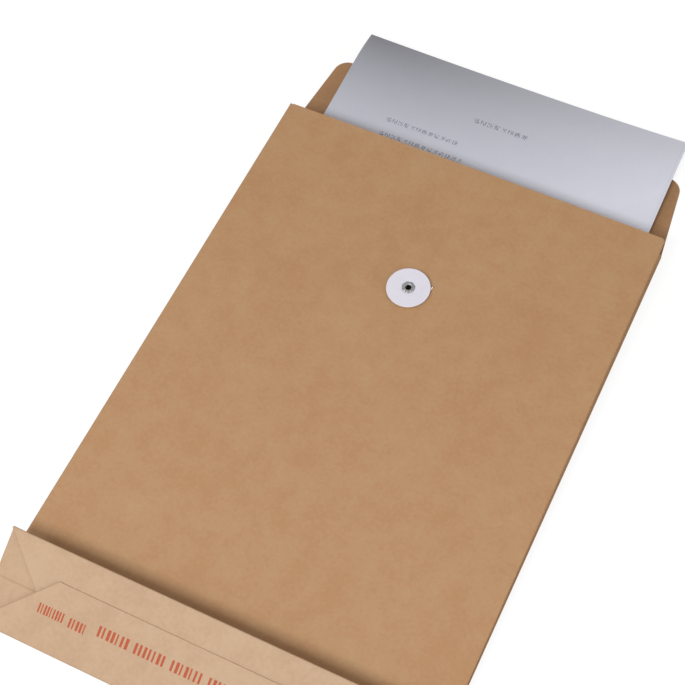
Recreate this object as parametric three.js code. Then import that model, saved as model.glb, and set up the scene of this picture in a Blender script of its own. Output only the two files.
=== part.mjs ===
// Kraft document envelope: gusseted sides, a folded block bottom standing up off the front,
// a wrap-over flap, a button-and-string closure, and a few A4 sheets inside.
// Millimetres. X runs across the envelope, Y from the bottom crease to the flap, Z up.
// The origin is the middle of the back panel's underside, which lies on the table.
import * as THREE from "three";

const rad = THREE.MathUtils.degToRad;

// Paper and clearances.
const kraft = 0.4;
const lapGap = 0.2;
const foldGap = 0.3;

// The body of the envelope.
const envelopeWidth = 240;
const envelopeLength = 350;
const gussetDepth = 25;
const bulgeDepth = 0.3;
const bulgeRise = 0.6;
const frontSlope = rad(2.08);
const mouthInset = 0.6;
const panelCorner = 1.5;
const seamLapWidth = 12;
const seamLapInset = 4;

// The block bottom, seen along X: it stands up from the back's bottom crease, and the foot
// of the front folds back down behind it.
const baseDepth = 50;
const baseAngle = rad(27.5);
const footAngle = rad(39.2);
const footLength = 25;
const baseFlapReach = 35;
const tuckReach = 33;
const tuckChamfer = 8;
const edgeInset = 0.3;

// The flap: a spine between two scores, then the flap proper, with its own button.
const spineWidth = 20;
const flapLength = 34;
const flapTaper = rad(6.7);
const flapCorner = 9;
const creaseGap = 0.15;
const flapButtonFromScore = 17;
const tableClearance = 0.05;

// Buttons, eyelets and string.
const buttonRadius = 12.5;
const buttonThickness = 0.6;
const buttonStandOff = 1.1;
const buttonFromMouth = 89;
const barrelRadius = 2.4;
const barrelClearance = 0.3;
const eyeletBore = 1.5;
const eyeletRimRadius = 3.7;
const eyeletRimThickness = 0.45;
const eyeletBackRadius = 4.3;
const eyeletBackThickness = 0.35;
const rivetGap = 0.1;
const patchRadius = 11;
const patchThickness = 0.5;
const stringDiameter = 0.8;
const stringGap = 0.48;
const stringTailReach = 1.2;
const stringTailSweep = rad(35);
const stringTailAngle = rad(26);

// The sheets: plain A4, loosely squared up.
const sheetWidth = 210;
const sheetLength = 297;
const sheetThickness = 0.2;
const sheetGap = 0.1;
const sheetCount = 4;
const sheetProtrusion = 80;
const sheetShiftX = 1.3;
const sheetTurn = rad(1.2);
const pushedInMargin = 3;
const sheetSideStep = 1.3;
const sheetEndStep = 0.5;
const sheetRestClearance = 0.3;

// Materials, one for each finish.
const finish = (color, roughness, metalness = 0) =>
  new THREE.MeshStandardMaterial({ color, roughness, metalness });
const kraftOuter = finish(0xb78e68, 0.85);
const kraftInner = finish(0x9c7553, 0.9);
const kraftBase = finish(0xd2b696, 0.85);
const whiteSheet = finish(0xe6e7ee, 0.8);
const whiteCard = finish(0xe2e1ea, 0.6);
const nickel = finish(0xc4c4c8, 0.3, 1);
const cotton = finish(0xefe4e2, 0.9);

function piece(name, geometry, material) {
  const mesh = new THREE.Mesh(geometry, material);
  mesh.name = name;
  return mesh;
}

// A closed solid through a row of rings with the same number of points, capped at both ends.
function loft(rings) {
  const count = rings[0].length;
  const positions = rings.flat().flatMap((p) => [p.x, p.y, p.z]);
  const index = [];
  for (let ring = 0; ring + 1 < rings.length; ring += 1) {
    for (let k = 0; k < count; k += 1) {
      const a = ring * count + k;
      const b = ring * count + ((k + 1) % count);
      index.push(a, b, a + count, b, b + count, a + count);
    }
  }
  // Each end is a strip between the ring's first half and its second half.
  const last = (rings.length - 1) * count;
  for (let k = 0; 2 * k + 2 < count; k += 1) {
    const [a, b, c, d] = [k, k + 1, count - 2 - k, count - 1 - k];
    index.push(a, d, c, last + a, last + c, last + d);
    if (b !== c) {
      index.push(a, c, b, last + a, last + b, last + c);
    }
  }
  const geometry = new THREE.BufferGeometry();
  geometry.setAttribute("position", new THREE.Float32BufferAttribute(positions, 3));
  geometry.setIndex(index);
  return outward(geometry);
}

// Turns every triangle round when the solid's volume comes out negative.
function outward(geometry) {
  const p = geometry.attributes.position;
  const index = geometry.index.array;
  const [a, b, c] = [new THREE.Vector3(), new THREE.Vector3(), new THREE.Vector3()];
  let volume = 0;
  for (let k = 0; k < index.length; k += 3) {
    a.fromBufferAttribute(p, index[k]);
    b.fromBufferAttribute(p, index[k + 1]);
    c.fromBufferAttribute(p, index[k + 2]);
    volume += a.dot(b.cross(c));
  }
  if (volume < 0) {
    for (let k = 0; k < index.length; k += 3) {
      [index[k + 1], index[k + 2]] = [index[k + 2], index[k + 1]];
    }
  }
  return geometry;
}

// A flat plate: a closed outline in X and Y, from height low, one thickness thick.
function plate(shape, thickness, low) {
  const geometry = new THREE.ExtrudeGeometry(shape, {
    depth: thickness, bevelEnabled: false, curveSegments: 12,
  });
  return geometry.translate(0, 0, low);
}

function addHole(shape, x, y, radius) {
  const hole = new THREE.Path();
  hole.absarc(x, y, radius, 0, 2 * Math.PI, true);
  shape.holes.push(hole);
  return shape;
}

// A four-sided outline, wide at startY and at endY, with its last two corners rounded when a
// corner radius is given.
function panelShape(startHalf, endHalf, startY, endY, corner = 0) {
  const shape = new THREE.Shape();
  shape.moveTo(-startHalf, startY);
  shape.lineTo(startHalf, startY);
  if (corner > 0) {
    const lean = Math.atan2(startHalf - endHalf, endY - startY);
    const tangent = corner * Math.tan((Math.PI / 2 - lean) / 2);
    const middle = endY - corner;
    shape.absarc(endHalf - tangent, middle, corner, lean, Math.PI / 2, false);
    shape.absarc(-endHalf + tangent, middle, corner, Math.PI / 2, Math.PI - lean, false);
  } else {
    shape.lineTo(endHalf, endY);
    shape.lineTo(-endHalf, endY);
  }
  return shape;
}

// A ply that bends only about X: a row of points [y, z] along its middle, and its half width
// at each of them.
function bentPly(path, halfWidthAt) {
  const points = path.map(([y, z]) => new THREE.Vector2(y, z));
  const rings = points.map((point, k) => {
    const before = points[Math.max(0, k - 1)];
    const after = points[Math.min(points.length - 1, k + 1)];
    const run = after.clone().sub(before).normalize();
    const normal = new THREE.Vector2(-run.y, run.x).multiplyScalar(kraft / 2);
    const half = halfWidthAt(point.x);
    const low = point.clone().sub(normal);
    const high = point.clone().add(normal);
    return [
      new THREE.Vector3(-half, low.x, low.y),
      new THREE.Vector3(half, low.x, low.y),
      new THREE.Vector3(half, high.x, high.y),
      new THREE.Vector3(-half, high.x, high.y),
    ];
  });
  return loft(rings);
}

// Half a turn of fold from height low to height high at y, bulging towards side.
function rolledFold(y, low, high, side) {
  const radius = (high - low) / 2;
  const steps = 6;
  return Array.from({ length: steps + 1 }, (_, k) => {
    const turn = (Math.PI * k) / steps;
    return [y + side * radius * Math.sin(turn), low + radius * (1 - Math.cos(turn))];
  });
}

// A ring about Z from a closed profile of [radius, height] points.
function turned(profile, segments) {
  const points = [...profile, profile[0]].map(([r, z]) => new THREE.Vector2(r, z));
  return new THREE.LatheGeometry(points, segments).rotateX(Math.PI / 2);
}

// A group whose children are drawn from a crease at [y, z], turned about X.
function crease(y, z, turn) {
  const group = new THREE.Group();
  group.position.set(0, y, z);
  group.rotation.x = turn;
  return group;
}

// The creases, seen along X from the bottom crease, with Y along the envelope.
const half = envelopeWidth / 2;
const atAngle = (length, angle) =>
  new THREE.Vector2(length * Math.cos(angle), length * Math.sin(angle));
const bottomCrease = new THREE.Vector2(0, kraft);
const topCrease = bottomCrease.clone().add(atAngle(baseDepth, baseAngle));
const footTurn = Math.PI + footAngle;
const frontCrease = topCrease.clone()
  .add(atAngle(footLength, footTurn))
  .add(atAngle(kraft, footTurn + Math.PI / 2));
const frontLength = (envelopeLength - mouthInset - frontCrease.x) / Math.cos(frontSlope);
const frontUnderside = (y) =>
  frontCrease.y + (y - frontCrease.x) * Math.tan(frontSlope) - kraft / Math.cos(frontSlope);

// Heights of the block bottom's plies above its hinge plane: tucks, inner flap, outer flap.
const tuckLow = foldGap;
const innerMiddle = tuckLow + kraft + lapGap + kraft / 2;
const outerMiddle = innerMiddle + kraft + lapGap;

function backPieces() {
  const back = new THREE.Group();
  const mouth = envelopeLength - creaseGap;
  back.add(piece("back_panel", plate(panelShape(half, half, 0, mouth), kraft, 0), kraftInner));
  const lapOuter = half - seamLapInset;
  const lap = new THREE.Shape([
    new THREE.Vector2(-lapOuter, gussetDepth),
    new THREE.Vector2(-lapOuter + seamLapWidth, gussetDepth),
    new THREE.Vector2(-lapOuter + seamLapWidth, envelopeLength - mouthInset),
    new THREE.Vector2(-lapOuter, envelopeLength - mouthInset),
  ]);
  back.add(piece("side_seam_lap", plate(lap, kraft, kraft), kraftInner));
  return back;
}

// A gusset's inner fold at y along the envelope: its height, how far in it reaches, and how far
// in each leaf has its bulge.
function gussetFold(y) {
  const along = Math.max(y, frontCrease.x);
  const share = Math.min(1, y / frontCrease.x);
  const rise = (frontUnderside(along) - kraft) / 2;
  const across = (partOfDepth, partOfRise) =>
    Math.sqrt((partOfDepth * gussetDepth) ** 2 - (partOfRise * rise) ** 2);
  const bulge = across(bulgeDepth, bulgeRise);
  const reach = bulge + across(1 - bulgeDepth, 1 - bulgeRise);
  return { height: kraft + rise * share, reach: reach * share, bulge: bulge * share };
}

// One station of a gusset leaf: root and tip heights of its lower face, at y.
function leafRing(side, y, root, tip) {
  const { reach, bulge } = gussetFold(y);
  const section = [
    [half, root],
    [half - bulge, root + bulgeRise * (tip - root)],
    [half - reach, tip],
  ];
  const low = section.map(([x, z]) => new THREE.Vector3(side * x, y, z));
  const high = section.map(([x, z]) => new THREE.Vector3(side * x, y, z + kraft));
  return [...low, ...high.reverse()];
}

function gussetPieces(side, name) {
  const pieces = new THREE.Group();
  const mouth = envelopeLength - mouthInset;
  const stations = 6;
  const cornerStart = 0.1;
  const spaced = (from) =>
    Array.from({ length: stations + 1 }, (_, k) => from + ((mouth - from) * k) / stations);

  // The lower leaf grows along its 45 degree corner crease, then keeps its depth.
  const lowerRings = [cornerStart * gussetDepth, ...spaced(frontCrease.x)].map((y) => {
    const root = kraft + foldGap;
    return leafRing(side, y, root, Math.max(root, gussetFold(y).height - foldGap / 2 - kraft));
  });
  pieces.add(piece(`gusset_${name}_lower`, loft(lowerRings), kraftOuter));

  const upperRings = spaced(frontCrease.x + foldGap).map((y) => {
    const root = frontUnderside(y) - foldGap - kraft;
    return leafRing(side, y, root, gussetFold(y).height + foldGap / 2);
  });
  pieces.add(piece(`gusset_${name}_upper`, loft(upperRings), kraftOuter));

  // The corner web closes the side between the raised bottom and the lower leaf.
  const webStart = 4;
  const webEnd = frontCrease.x - 4 * foldGap;
  const baseUnderside = (y) => kraft + y * Math.tan(baseAngle);
  const outer = side * (half - edgeInset);
  const { height, reach } = gussetFold(webEnd);
  const web = [
    new THREE.Vector3(outer, webStart, (baseUnderside(webStart) + 2 * kraft + foldGap) / 2 + foldGap),
    new THREE.Vector3(outer, webEnd, baseUnderside(webEnd) - 2 * foldGap),
    new THREE.Vector3(side * (half - reach + 2 * kraft), webEnd, height + kraft + foldGap),
  ];
  const face = new THREE.Triangle(...web).getNormal(new THREE.Vector3());
  const inward = face.multiplyScalar(face.x * side < 0 ? kraft : -kraft);
  const webBack = web.map((corner) => corner.clone().add(inward));
  pieces.add(piece(`gusset_${name}_corner`, loft([web, webBack]), kraftOuter));
  return pieces;
}

function basePieces() {
  const base = crease(bottomCrease.x, bottomCrease.y, baseAngle);
  const outerPath = [
    ...rolledFold(0, tuckLow + kraft / 2, outerMiddle, -1),
    [baseFlapReach, outerMiddle],
  ];
  base.add(piece("bottom_outer_flap", bentPly(outerPath, (y) => half - Math.max(0, y)), kraftBase));
  const innerPath = [
    ...rolledFold(baseDepth, tuckLow + kraft / 2, innerMiddle, 1),
    [baseDepth - baseFlapReach, innerMiddle],
  ];
  base.add(piece(
    "bottom_inner_flap",
    bentPly(innerPath, (y) => half - Math.max(0, baseDepth - y)),
    kraftBase,
  ));
  for (const [side, name] of [[-1, "left"], [1, "right"]]) {
    const outer = half - edgeInset;
    const inner = outer - tuckReach;
    const low = foldGap + 2 * kraft;
    const high = baseDepth - low;
    const outline = [
      [outer, low], [outer, high], [inner + tuckChamfer, high], [inner, high - tuckChamfer],
      [inner, low + tuckChamfer], [inner + tuckChamfer, low],
    ];
    const shape = new THREE.Shape(outline.map(([x, y]) => new THREE.Vector2(side * x, y)));
    base.add(piece(`bottom_${name}_tuck`, plate(shape, kraft, tuckLow), kraftBase));
  }
  return base;
}

function footPieces() {
  const foot = crease(baseDepth, 0, footTurn - baseAngle);
  const shape = panelShape(half, half, foldGap, footLength);
  foot.add(piece("front_foot", plate(shape, kraft, 0), kraftOuter));
  return foot;
}

// A button on its rivet: outward is +1 when the button stands off above the ply's upper face,
// and -1 when it stands off below the ply's lower face. The ply lies from -kraft to 0.
function buttonPieces(name, y, outward, backing) {
  const button = new THREE.Group();
  button.position.set(0, y, outward > 0 ? 0 : -kraft);
  button.rotation.x = outward > 0 ? 0 : Math.PI;
  const bottom = buttonStandOff;
  const top = bottom + buttonThickness;
  const bevel = buttonThickness / 4;
  const bore = barrelRadius + barrelClearance;
  button.add(piece(`${name}_button`, turned([
    [bore, bottom], [buttonRadius - bevel, bottom], [buttonRadius, bottom + bevel],
    [buttonRadius, top - bevel], [buttonRadius - bevel, top], [bore, top],
  ], 48), whiteCard));
  const rimLow = top + rivetGap;
  const rimHigh = rimLow + eyeletRimThickness;
  const backHigh = -kraft - backing - rivetGap;
  const backLow = backHigh - eyeletBackThickness;
  const roll = eyeletRimThickness / 2;
  button.add(piece(`${name}_eyelet`, turned([
    [eyeletBore, backLow], [eyeletBackRadius, backLow], [eyeletBackRadius, backHigh],
    [barrelRadius, backHigh], [barrelRadius, rimLow], [eyeletRimRadius - roll, rimLow],
    [eyeletRimRadius, rimLow + roll], [eyeletRimRadius - roll, rimHigh],
    [eyeletBore + 2 * roll, rimHigh], [eyeletBore, rimHigh - 2 * roll],
  ], 24), nickel));
  return button;
}

// The string's route under the front button: an open flat spiral out from the rivet's barrel,
// whose end turns outwards past the button's rim, in the button's own frame.
const stringTurns = 6;
const stringStart = barrelRadius + barrelClearance + stringDiameter / 2;
const stringWound = (stringDiameter + stringGap) * stringTurns;
const stringTail = buttonRadius + stringTailReach - stringStart - stringWound;
const stringTailShare = stringTailSweep / (stringTurns * 2 * Math.PI);
const stringPoint = (share) => {
  const leaving = Math.max(0, 1 - (1 - share) / stringTailShare);
  const spread = stringStart + stringWound * share + stringTail * leaving ** 3;
  const turn = stringTailAngle - (1 - share) * stringTurns * 2 * Math.PI;
  return new THREE.Vector3(
    spread * Math.cos(turn), spread * Math.sin(turn), buttonStandOff / 2,
  );
};

function stringPiece() {
  const sides = 6;
  const wound = 24 * stringTurns;
  const tail = 8;
  const shares = [
    ...Array.from({ length: wound }, (_, k) => (k / wound) * (1 - stringTailShare)),
    ...Array.from({ length: tail + 1 }, (_, k) => 1 - stringTailShare * (1 - k / tail)),
  ];
  const rings = shares.map((share) => {
    const centre = stringPoint(share);
    const run = stringPoint(share + 1e-5).sub(stringPoint(share - 1e-5)).normalize();
    const across = new THREE.Vector3(run.y, -run.x, 0);
    return Array.from({ length: sides }, (_, s) => {
      const angle = (2 * Math.PI * s) / sides;
      const reach = (stringDiameter / 2) * Math.cos(angle);
      const rise = (stringDiameter / 2) * Math.sin(angle);
      return centre.clone().addScaledVector(across, reach).setZ(centre.z + rise);
    });
  });
  return piece("closure_string", loft(rings), cotton);
}

// The least gap between two turns of the string, measured between points a turn or so apart.
function leastStringGap() {
  const steps = 60 * stringTurns;
  const points = Array.from({ length: steps + 1 }, (_, k) => stringPoint(k / steps));
  let least = Infinity;
  for (let a = 0; a < points.length; a += 1) {
    for (let b = a + 30; b < points.length; b += 1) {
      least = Math.min(least, points[a].distanceTo(points[b]) - stringDiameter);
    }
  }
  return least;
}

function frontPieces() {
  const front = crease(footLength, kraft, frontSlope - footTurn);
  const buttonY = frontLength - buttonFromMouth;
  const hole = barrelRadius + barrelClearance;
  const shape = panelShape(half, half, creaseGap, frontLength, panelCorner);
  front.add(piece("front_panel", plate(addHole(shape, 0, buttonY, hole), kraft, -kraft), kraftOuter));
  const patch = new THREE.Shape();
  patch.absarc(0, buttonY, patchRadius, 0, 2 * Math.PI, false);
  addHole(patch, 0, buttonY, hole);
  const patchLow = -kraft - lapGap - patchThickness;
  front.add(piece("front_backing_patch", plate(patch, patchThickness, patchLow), kraftInner));
  const button = buttonPieces("front", buttonY, 1, lapGap + patchThickness);
  button.add(stringPiece());
  front.add(button);
  return front;
}

// How far the open flap leans up, so that the button beneath it just clears the table.
function flapLean() {
  const buttonNear = spineWidth + flapButtonFromScore - buttonRadius;
  const buttonDepth = kraft + buttonStandOff + buttonThickness;
  const rimNear = spineWidth + flapButtonFromScore - eyeletRimRadius;
  const rimDepth = buttonDepth + rivetGap + eyeletRimThickness;
  const lean = (near, depth) => Math.asin((depth + tableClearance - kraft) / near);
  return Math.max(lean(buttonNear, buttonDepth), lean(rimNear, rimDepth));
}

function flapPieces() {
  const spine = crease(envelopeLength, kraft, flapLean());
  const halfAt = (y) => half - foldGap - y * Math.tan(flapTaper);
  const spineEnd = spineWidth - creaseGap;
  spine.add(piece(
    "flap_spine",
    plate(panelShape(halfAt(creaseGap), halfAt(spineEnd), creaseGap, spineEnd), kraft, -kraft),
    kraftInner,
  ));
  const flap = crease(spineWidth, 0, 0);
  const shape = panelShape(
    halfAt(spineWidth), halfAt(spineWidth + flapLength), creaseGap, flapLength, flapCorner,
  );
  addHole(shape, 0, flapButtonFromScore, barrelRadius + barrelClearance);
  flap.add(piece("closure_flap", plate(shape, kraft, -kraft), kraftInner));
  flap.add(buttonPieces("flap", flapButtonFromScore, -1, 0));
  spine.add(flap);
  return spine;
}

// The sheets lie on a plane from the back panel, where they are pushed right in, up to the
// tip of the open flap.
function documentPieces() {
  const lean = flapLean();
  const flapReach = spineWidth + flapLength;
  const tipY = envelopeLength + flapReach * Math.cos(lean);
  const tipZ = kraft + flapReach * Math.sin(lean) + sheetRestClearance;
  const heelY = envelopeLength - pushedInMargin - sheetLength;
  const heelZ = kraft + sheetRestClearance;
  const slope = Math.atan2(tipZ - heelZ, tipY - heelY);
  const topY = envelopeLength + sheetProtrusion;
  const topZ = heelZ + (topY - heelY) * Math.tan(slope);
  const stack = new THREE.Group();
  stack.position.set(sheetShiftX, topY, topZ);
  stack.rotation.set(slope, 0, sheetTurn);
  for (let k = 0; k < sheetCount; k += 1) {
    const shape = panelShape(sheetWidth / 2, sheetWidth / 2, -sheetLength, 0);
    const low = k * (sheetThickness + sheetGap);
    const sheet = piece(`document_sheet_${k + 1}`, plate(shape, sheetThickness, low), whiteSheet);
    sheet.position.set((0.5 - (k % 2)) * sheetSideStep, -((k * 2) % 3) * sheetEndStep, 0);
    stack.add(sheet);
  }
  return stack;
}

const envelope = new THREE.Group();
envelope.position.y = -envelopeLength / 2;
const base = basePieces();
const foot = footPieces();
foot.add(frontPieces());
base.add(foot);
envelope.add(
  backPieces(),
  gussetPieces(-1, "left"),
  gussetPieces(1, "right"),
  base,
  flapPieces(),
  documentPieces(),
);
console.log(`least gap between turns of the string: ${leastStringGap().toFixed(2)} mm`);

export default envelope;
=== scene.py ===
"""Looks of the kraft document envelope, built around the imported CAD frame.

Every piece of paper is cut flat, as the real one is, and then bent by a function that takes
its flat coordinates to their place. Sizes are millimetres in the envelope's own frame: X across
it, Y from the bottom crease towards the mouth, Z up from the table. They are moved to the row
frame, in metres, as each mesh is made.
"""

from __future__ import annotations

import logging
import math
from dataclasses import dataclass
from enum import Enum
from functools import cache
from typing import Callable, ClassVar, Sequence

import bpy
import numpy as np
from mathutils import Matrix, Vector
from mathutils.geometry import delaunay_2d_cdt

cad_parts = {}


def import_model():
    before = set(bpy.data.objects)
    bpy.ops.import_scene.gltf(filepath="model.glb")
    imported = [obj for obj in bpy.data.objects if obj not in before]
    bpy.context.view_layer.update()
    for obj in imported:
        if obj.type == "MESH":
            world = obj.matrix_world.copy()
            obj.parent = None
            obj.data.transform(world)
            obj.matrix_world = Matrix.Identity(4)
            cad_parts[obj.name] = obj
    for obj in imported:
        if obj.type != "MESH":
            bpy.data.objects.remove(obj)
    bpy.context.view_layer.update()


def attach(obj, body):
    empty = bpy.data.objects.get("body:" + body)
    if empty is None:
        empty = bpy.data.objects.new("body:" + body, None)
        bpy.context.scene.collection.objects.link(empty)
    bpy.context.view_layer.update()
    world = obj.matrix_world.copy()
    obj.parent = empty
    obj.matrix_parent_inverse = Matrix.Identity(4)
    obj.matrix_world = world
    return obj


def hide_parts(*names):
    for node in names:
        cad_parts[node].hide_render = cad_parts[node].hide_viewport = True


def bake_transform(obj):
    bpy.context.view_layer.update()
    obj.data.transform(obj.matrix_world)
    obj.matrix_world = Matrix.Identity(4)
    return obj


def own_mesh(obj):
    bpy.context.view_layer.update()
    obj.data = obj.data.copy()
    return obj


LOG = logging.getLogger("envelope")
Array = np.ndarray
Bend = Callable[[Array], Array]

# Pieces that a rounded fold is drawn with, and points round a button's hole.
FOLD_STEPS = 12
HOLE_STEPS = 32

# Where pieces lie on the paper they are cut from, in flat millimetres, so that no two of them
# show the same stretch of its grain.
FOOT_CUT, FRONT_CUT = (0.0, 80.0), (0.0, 110.0)
SEAM_CUT, PATCH_CUT, WEB_CUT = (400.0, 0.0), (300.0, 300.0), (900.0, 0.0)
GUSSET_CUTS = {-1: (300.0, 0.0), 1: (700.0, 0.0)}
INNER_CUT, TUCK_CUT = (0.0, 60.0), (1100.0, 0.0)


@dataclass(frozen=True)
class Sizes:
    """Sizes of the envelope in millimetres and degrees, as in the CAD model.

    Attributes:
        width: Across the envelope.
        length: From the bottom crease to the mouth.
        ply: What one ply takes up in the CAD model.
        paper: Thickness of the kraft paper, as drawn here.
        sheet: Thickness of a sheet of paper, as drawn here.
        gusset: Width of a gusset's leaf.
        bulge_depth: Share of a leaf's width that lies outside its knee.
        bulge_rise: Share of a leaf's rise that lies outside its knee.
        mouth_inset: From the front's and the gussets' edge to the mouth.
        side_inset: From a panel's side edge to the envelope's full width.
        base_depth: Depth of the block bottom.
        base_angle: Slope of the raised bottom.
        foot_angle: Slope of the foot behind it.
        foot_length: Length of that foot.
        base_flap: Reach of the bottom's outer and inner flaps.
        front_slope: Slope of the front panel.
        spine: From the mouth's crease to the flap's score.
        flap: From the score to the flap's end.
        flap_taper: How far each end of the flap leans in.
        flap_lean: Slope of the open flap.
        flap_button: From the score to the flap's button.
        button_from_mouth: From the front's edge to its button.
        button_radius: Radius of a disc.
        button_thickness: Thickness of a disc.
        button_stand_off: Room between a disc and its panel.
        button_bore: Radius of the hole round an eyelet.
        string: Thickness of the string.
        sheet_width: Width of a sheet of paper.
        sheet_length: Length of a sheet of paper.
        sheet_pitch: From one sheet to the next.
        keep_when_folded: Share of the gussets' height left when the bottom is folded down.
    """

    width: float = 240.0
    length: float = 350.0
    ply: float = 0.4
    paper: float = 0.3
    sheet: float = 0.14
    gusset: float = 25.0
    bulge_depth: float = 0.3
    bulge_rise: float = 0.6
    mouth_inset: float = 0.6
    side_inset: float = 0.4
    base_depth: float = 50.0
    base_angle: float = 27.5
    foot_angle: float = 39.2
    foot_length: float = 25.0
    base_flap: float = 35.0
    front_slope: float = 2.08
    spine: float = 20.0
    flap: float = 34.0
    flap_taper: float = 6.7
    flap_lean: float = 4.096
    flap_button: float = 17.0
    button_from_mouth: float = 89.0
    button_radius: float = 12.5
    button_thickness: float = 0.6
    button_stand_off: float = 1.1
    button_bore: float = 2.7
    string: float = 0.8
    sheet_width: float = 210.0
    sheet_length: float = 297.0
    sheet_pitch: float = 0.3
    keep_when_folded: float = 0.34

    @property
    def half(self) -> float:
        """Half the envelope's width."""
        return self.width / 2


SIZE = Sizes()


def direction(angle: float) -> Array:
    """Unit vector in Y and Z at an angle in degrees from +Y."""
    turn = math.radians(angle)
    return np.array([math.cos(turn), math.sin(turn)])


def normal(angle: float) -> Array:
    """Unit vector a quarter turn on from direction(angle)."""
    return direction(angle + 90.0)


class Creases:
    """Where the envelope's creases lie, seen along X, as points in Y and Z.

    Attributes:
        bottom: The crease between the back and the raised bottom.
        top: The crease between the bottom and the foot.
        foot_turn: Direction of the foot, in degrees from +Y.
        foot_gaps: From the foot's paper to its two creases.
        foot_start: Where that paper starts, in the middle of its thickness.
        foot_end: Where it ends.
        front: The crease between the foot and the front panel.
        front_length: From that crease to the front's edge.
        mouth: The crease between the back and the flap's spine.
        score: The crease between the spine and the flap.
        button: From the front's crease to its button.
    """

    bottom: Array = np.array([0.0, SIZE.ply])
    top: Array = bottom + SIZE.base_depth * direction(SIZE.base_angle)
    foot_turn: float = 180.0 + SIZE.foot_angle
    foot_gaps: tuple[float, float] = (0.35, 0.3)
    foot_start: Array = top + foot_gaps[0] * direction(foot_turn) + SIZE.ply / 2 * normal(foot_turn)
    foot_end: Array = (
        top + (SIZE.foot_length - foot_gaps[1]) * direction(foot_turn)
        + SIZE.ply / 2 * normal(foot_turn)
    )
    front: Array = top + SIZE.foot_length * direction(foot_turn) + SIZE.ply * normal(foot_turn)
    front_length: float = float(
        (SIZE.length - SIZE.mouth_inset - front[0]) / direction(SIZE.front_slope)[0]
    )
    mouth: Array = np.array([SIZE.length, SIZE.ply])
    score: Array = mouth + SIZE.spine * direction(SIZE.flap_lean)
    button: float = front_length - SIZE.button_from_mouth

    @classmethod
    def front_under(cls, y: Array) -> Array:
        """Height of the front panel's underside at y."""
        slope = direction(SIZE.front_slope)
        return cls.front[1] + (y - cls.front[0]) * slope[1] / slope[0] - SIZE.ply / slope[0]


class Row:
    """Moves points from the envelope's frame in millimetres to the row frame in metres."""

    shift: Array = np.array([0.0, SIZE.length / 2, 0.0])

    @classmethod
    def metres(cls, points: Array) -> Array:
        """Points in the row frame."""
        return (np.asarray(points, float) - cls.shift) / 1000.0


class Profile:
    """A curve in Y and Z that can be read at any length along it."""

    def __init__(self, points: Array) -> None:
        """Measures how far along the curve each of its points lies.

        Args:
            points: The curve's points.
        """
        self.points = np.asarray(points, float)
        steps = np.linalg.norm(np.diff(self.points, axis=0), axis=1)
        self.lengths = np.concatenate([[0.0], np.cumsum(steps)])

    @property
    def length(self) -> float:
        """Length of the whole curve."""
        return float(self.lengths[-1])

    def at(self, s: Array) -> tuple[Array, Array]:
        """Y and Z at lengths s along the curve."""
        y, z = (np.interp(s, self.lengths, column) for column in self.points.T)
        return y, z


def bezier(start: Array, leave: Array, arrive: Array, end: Array, reach: float) -> Array:
    """Points of a fold: the cubic curve on a start, two handles and an end.

    Args:
        start: First point.
        leave: Unit direction at the start.
        arrive: Unit direction at the end.
        end: Last point.
        reach: Length of both handles.

    Returns:
        The points, as rows.
    """
    t = np.linspace(0.0, 1.0, FOLD_STEPS + 1)[:, None]
    a, b, c, d = start, start + reach * leave, end - reach * arrive, end
    return (1 - t) ** 3 * a + 3 * (1 - t) ** 2 * t * b + 3 * (1 - t) * t**2 * c + t**3 * d


def inside(points: Array, loops: Sequence[Array]) -> Array:
    """Which points lie inside the first loop and outside the others, by the even-odd rule.

    Args:
        points: The points, as rows.
        loops: The outline and the holes, as rows of points.

    Returns:
        True or False for each point.
    """
    odd = np.zeros(len(points), bool)
    x, y = points[:, 0], points[:, 1]
    for loop in loops:
        for a, b in zip(loop, np.roll(loop, -1, axis=0)):
            if a[1] == b[1]:
                continue
            crosses = (a[1] > y) != (b[1] > y)
            odd ^= crosses & (x < a[0] + (y - a[1]) * (b[0] - a[0]) / (b[1] - a[1]))
    return odd


def near(points: Array, loops: Sequence[Array], reach: float) -> Array:
    """Which points lie close to an edge of a loop.

    Args:
        points: The points, as rows.
        loops: The outline and the holes, as rows of points.
        reach: How close is close.

    Returns:
        True or False for each point.
    """
    close = np.zeros(len(points), bool)
    for loop in loops:
        for a, b in zip(loop, np.roll(loop, -1, axis=0)):
            run = b - a
            share = np.clip(((points - a) @ run) / max(float(run @ run), 1e-12), 0.0, 1.0)
            close |= np.linalg.norm(points - a - share[:, None] * run, axis=1) < reach
    return close


def circle(centre: Sequence[float], radius: float, steps: int) -> Array:
    """Points spread evenly round a circle.

    Args:
        centre: Its middle.
        radius: Its radius.
        steps: Number of points.

    Returns:
        The points, as rows.
    """
    turn = np.linspace(0.0, 2 * math.pi, steps, endpoint=False)
    return np.array(centre) + radius * np.stack([np.cos(turn), np.sin(turn)], axis=1)


def box_outline(left: float, right: float, low: float, high: float) -> Array:
    """The corners of an upright rectangle, anticlockwise."""
    return np.array([(left, low), (right, low), (right, high), (left, high)])


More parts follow.
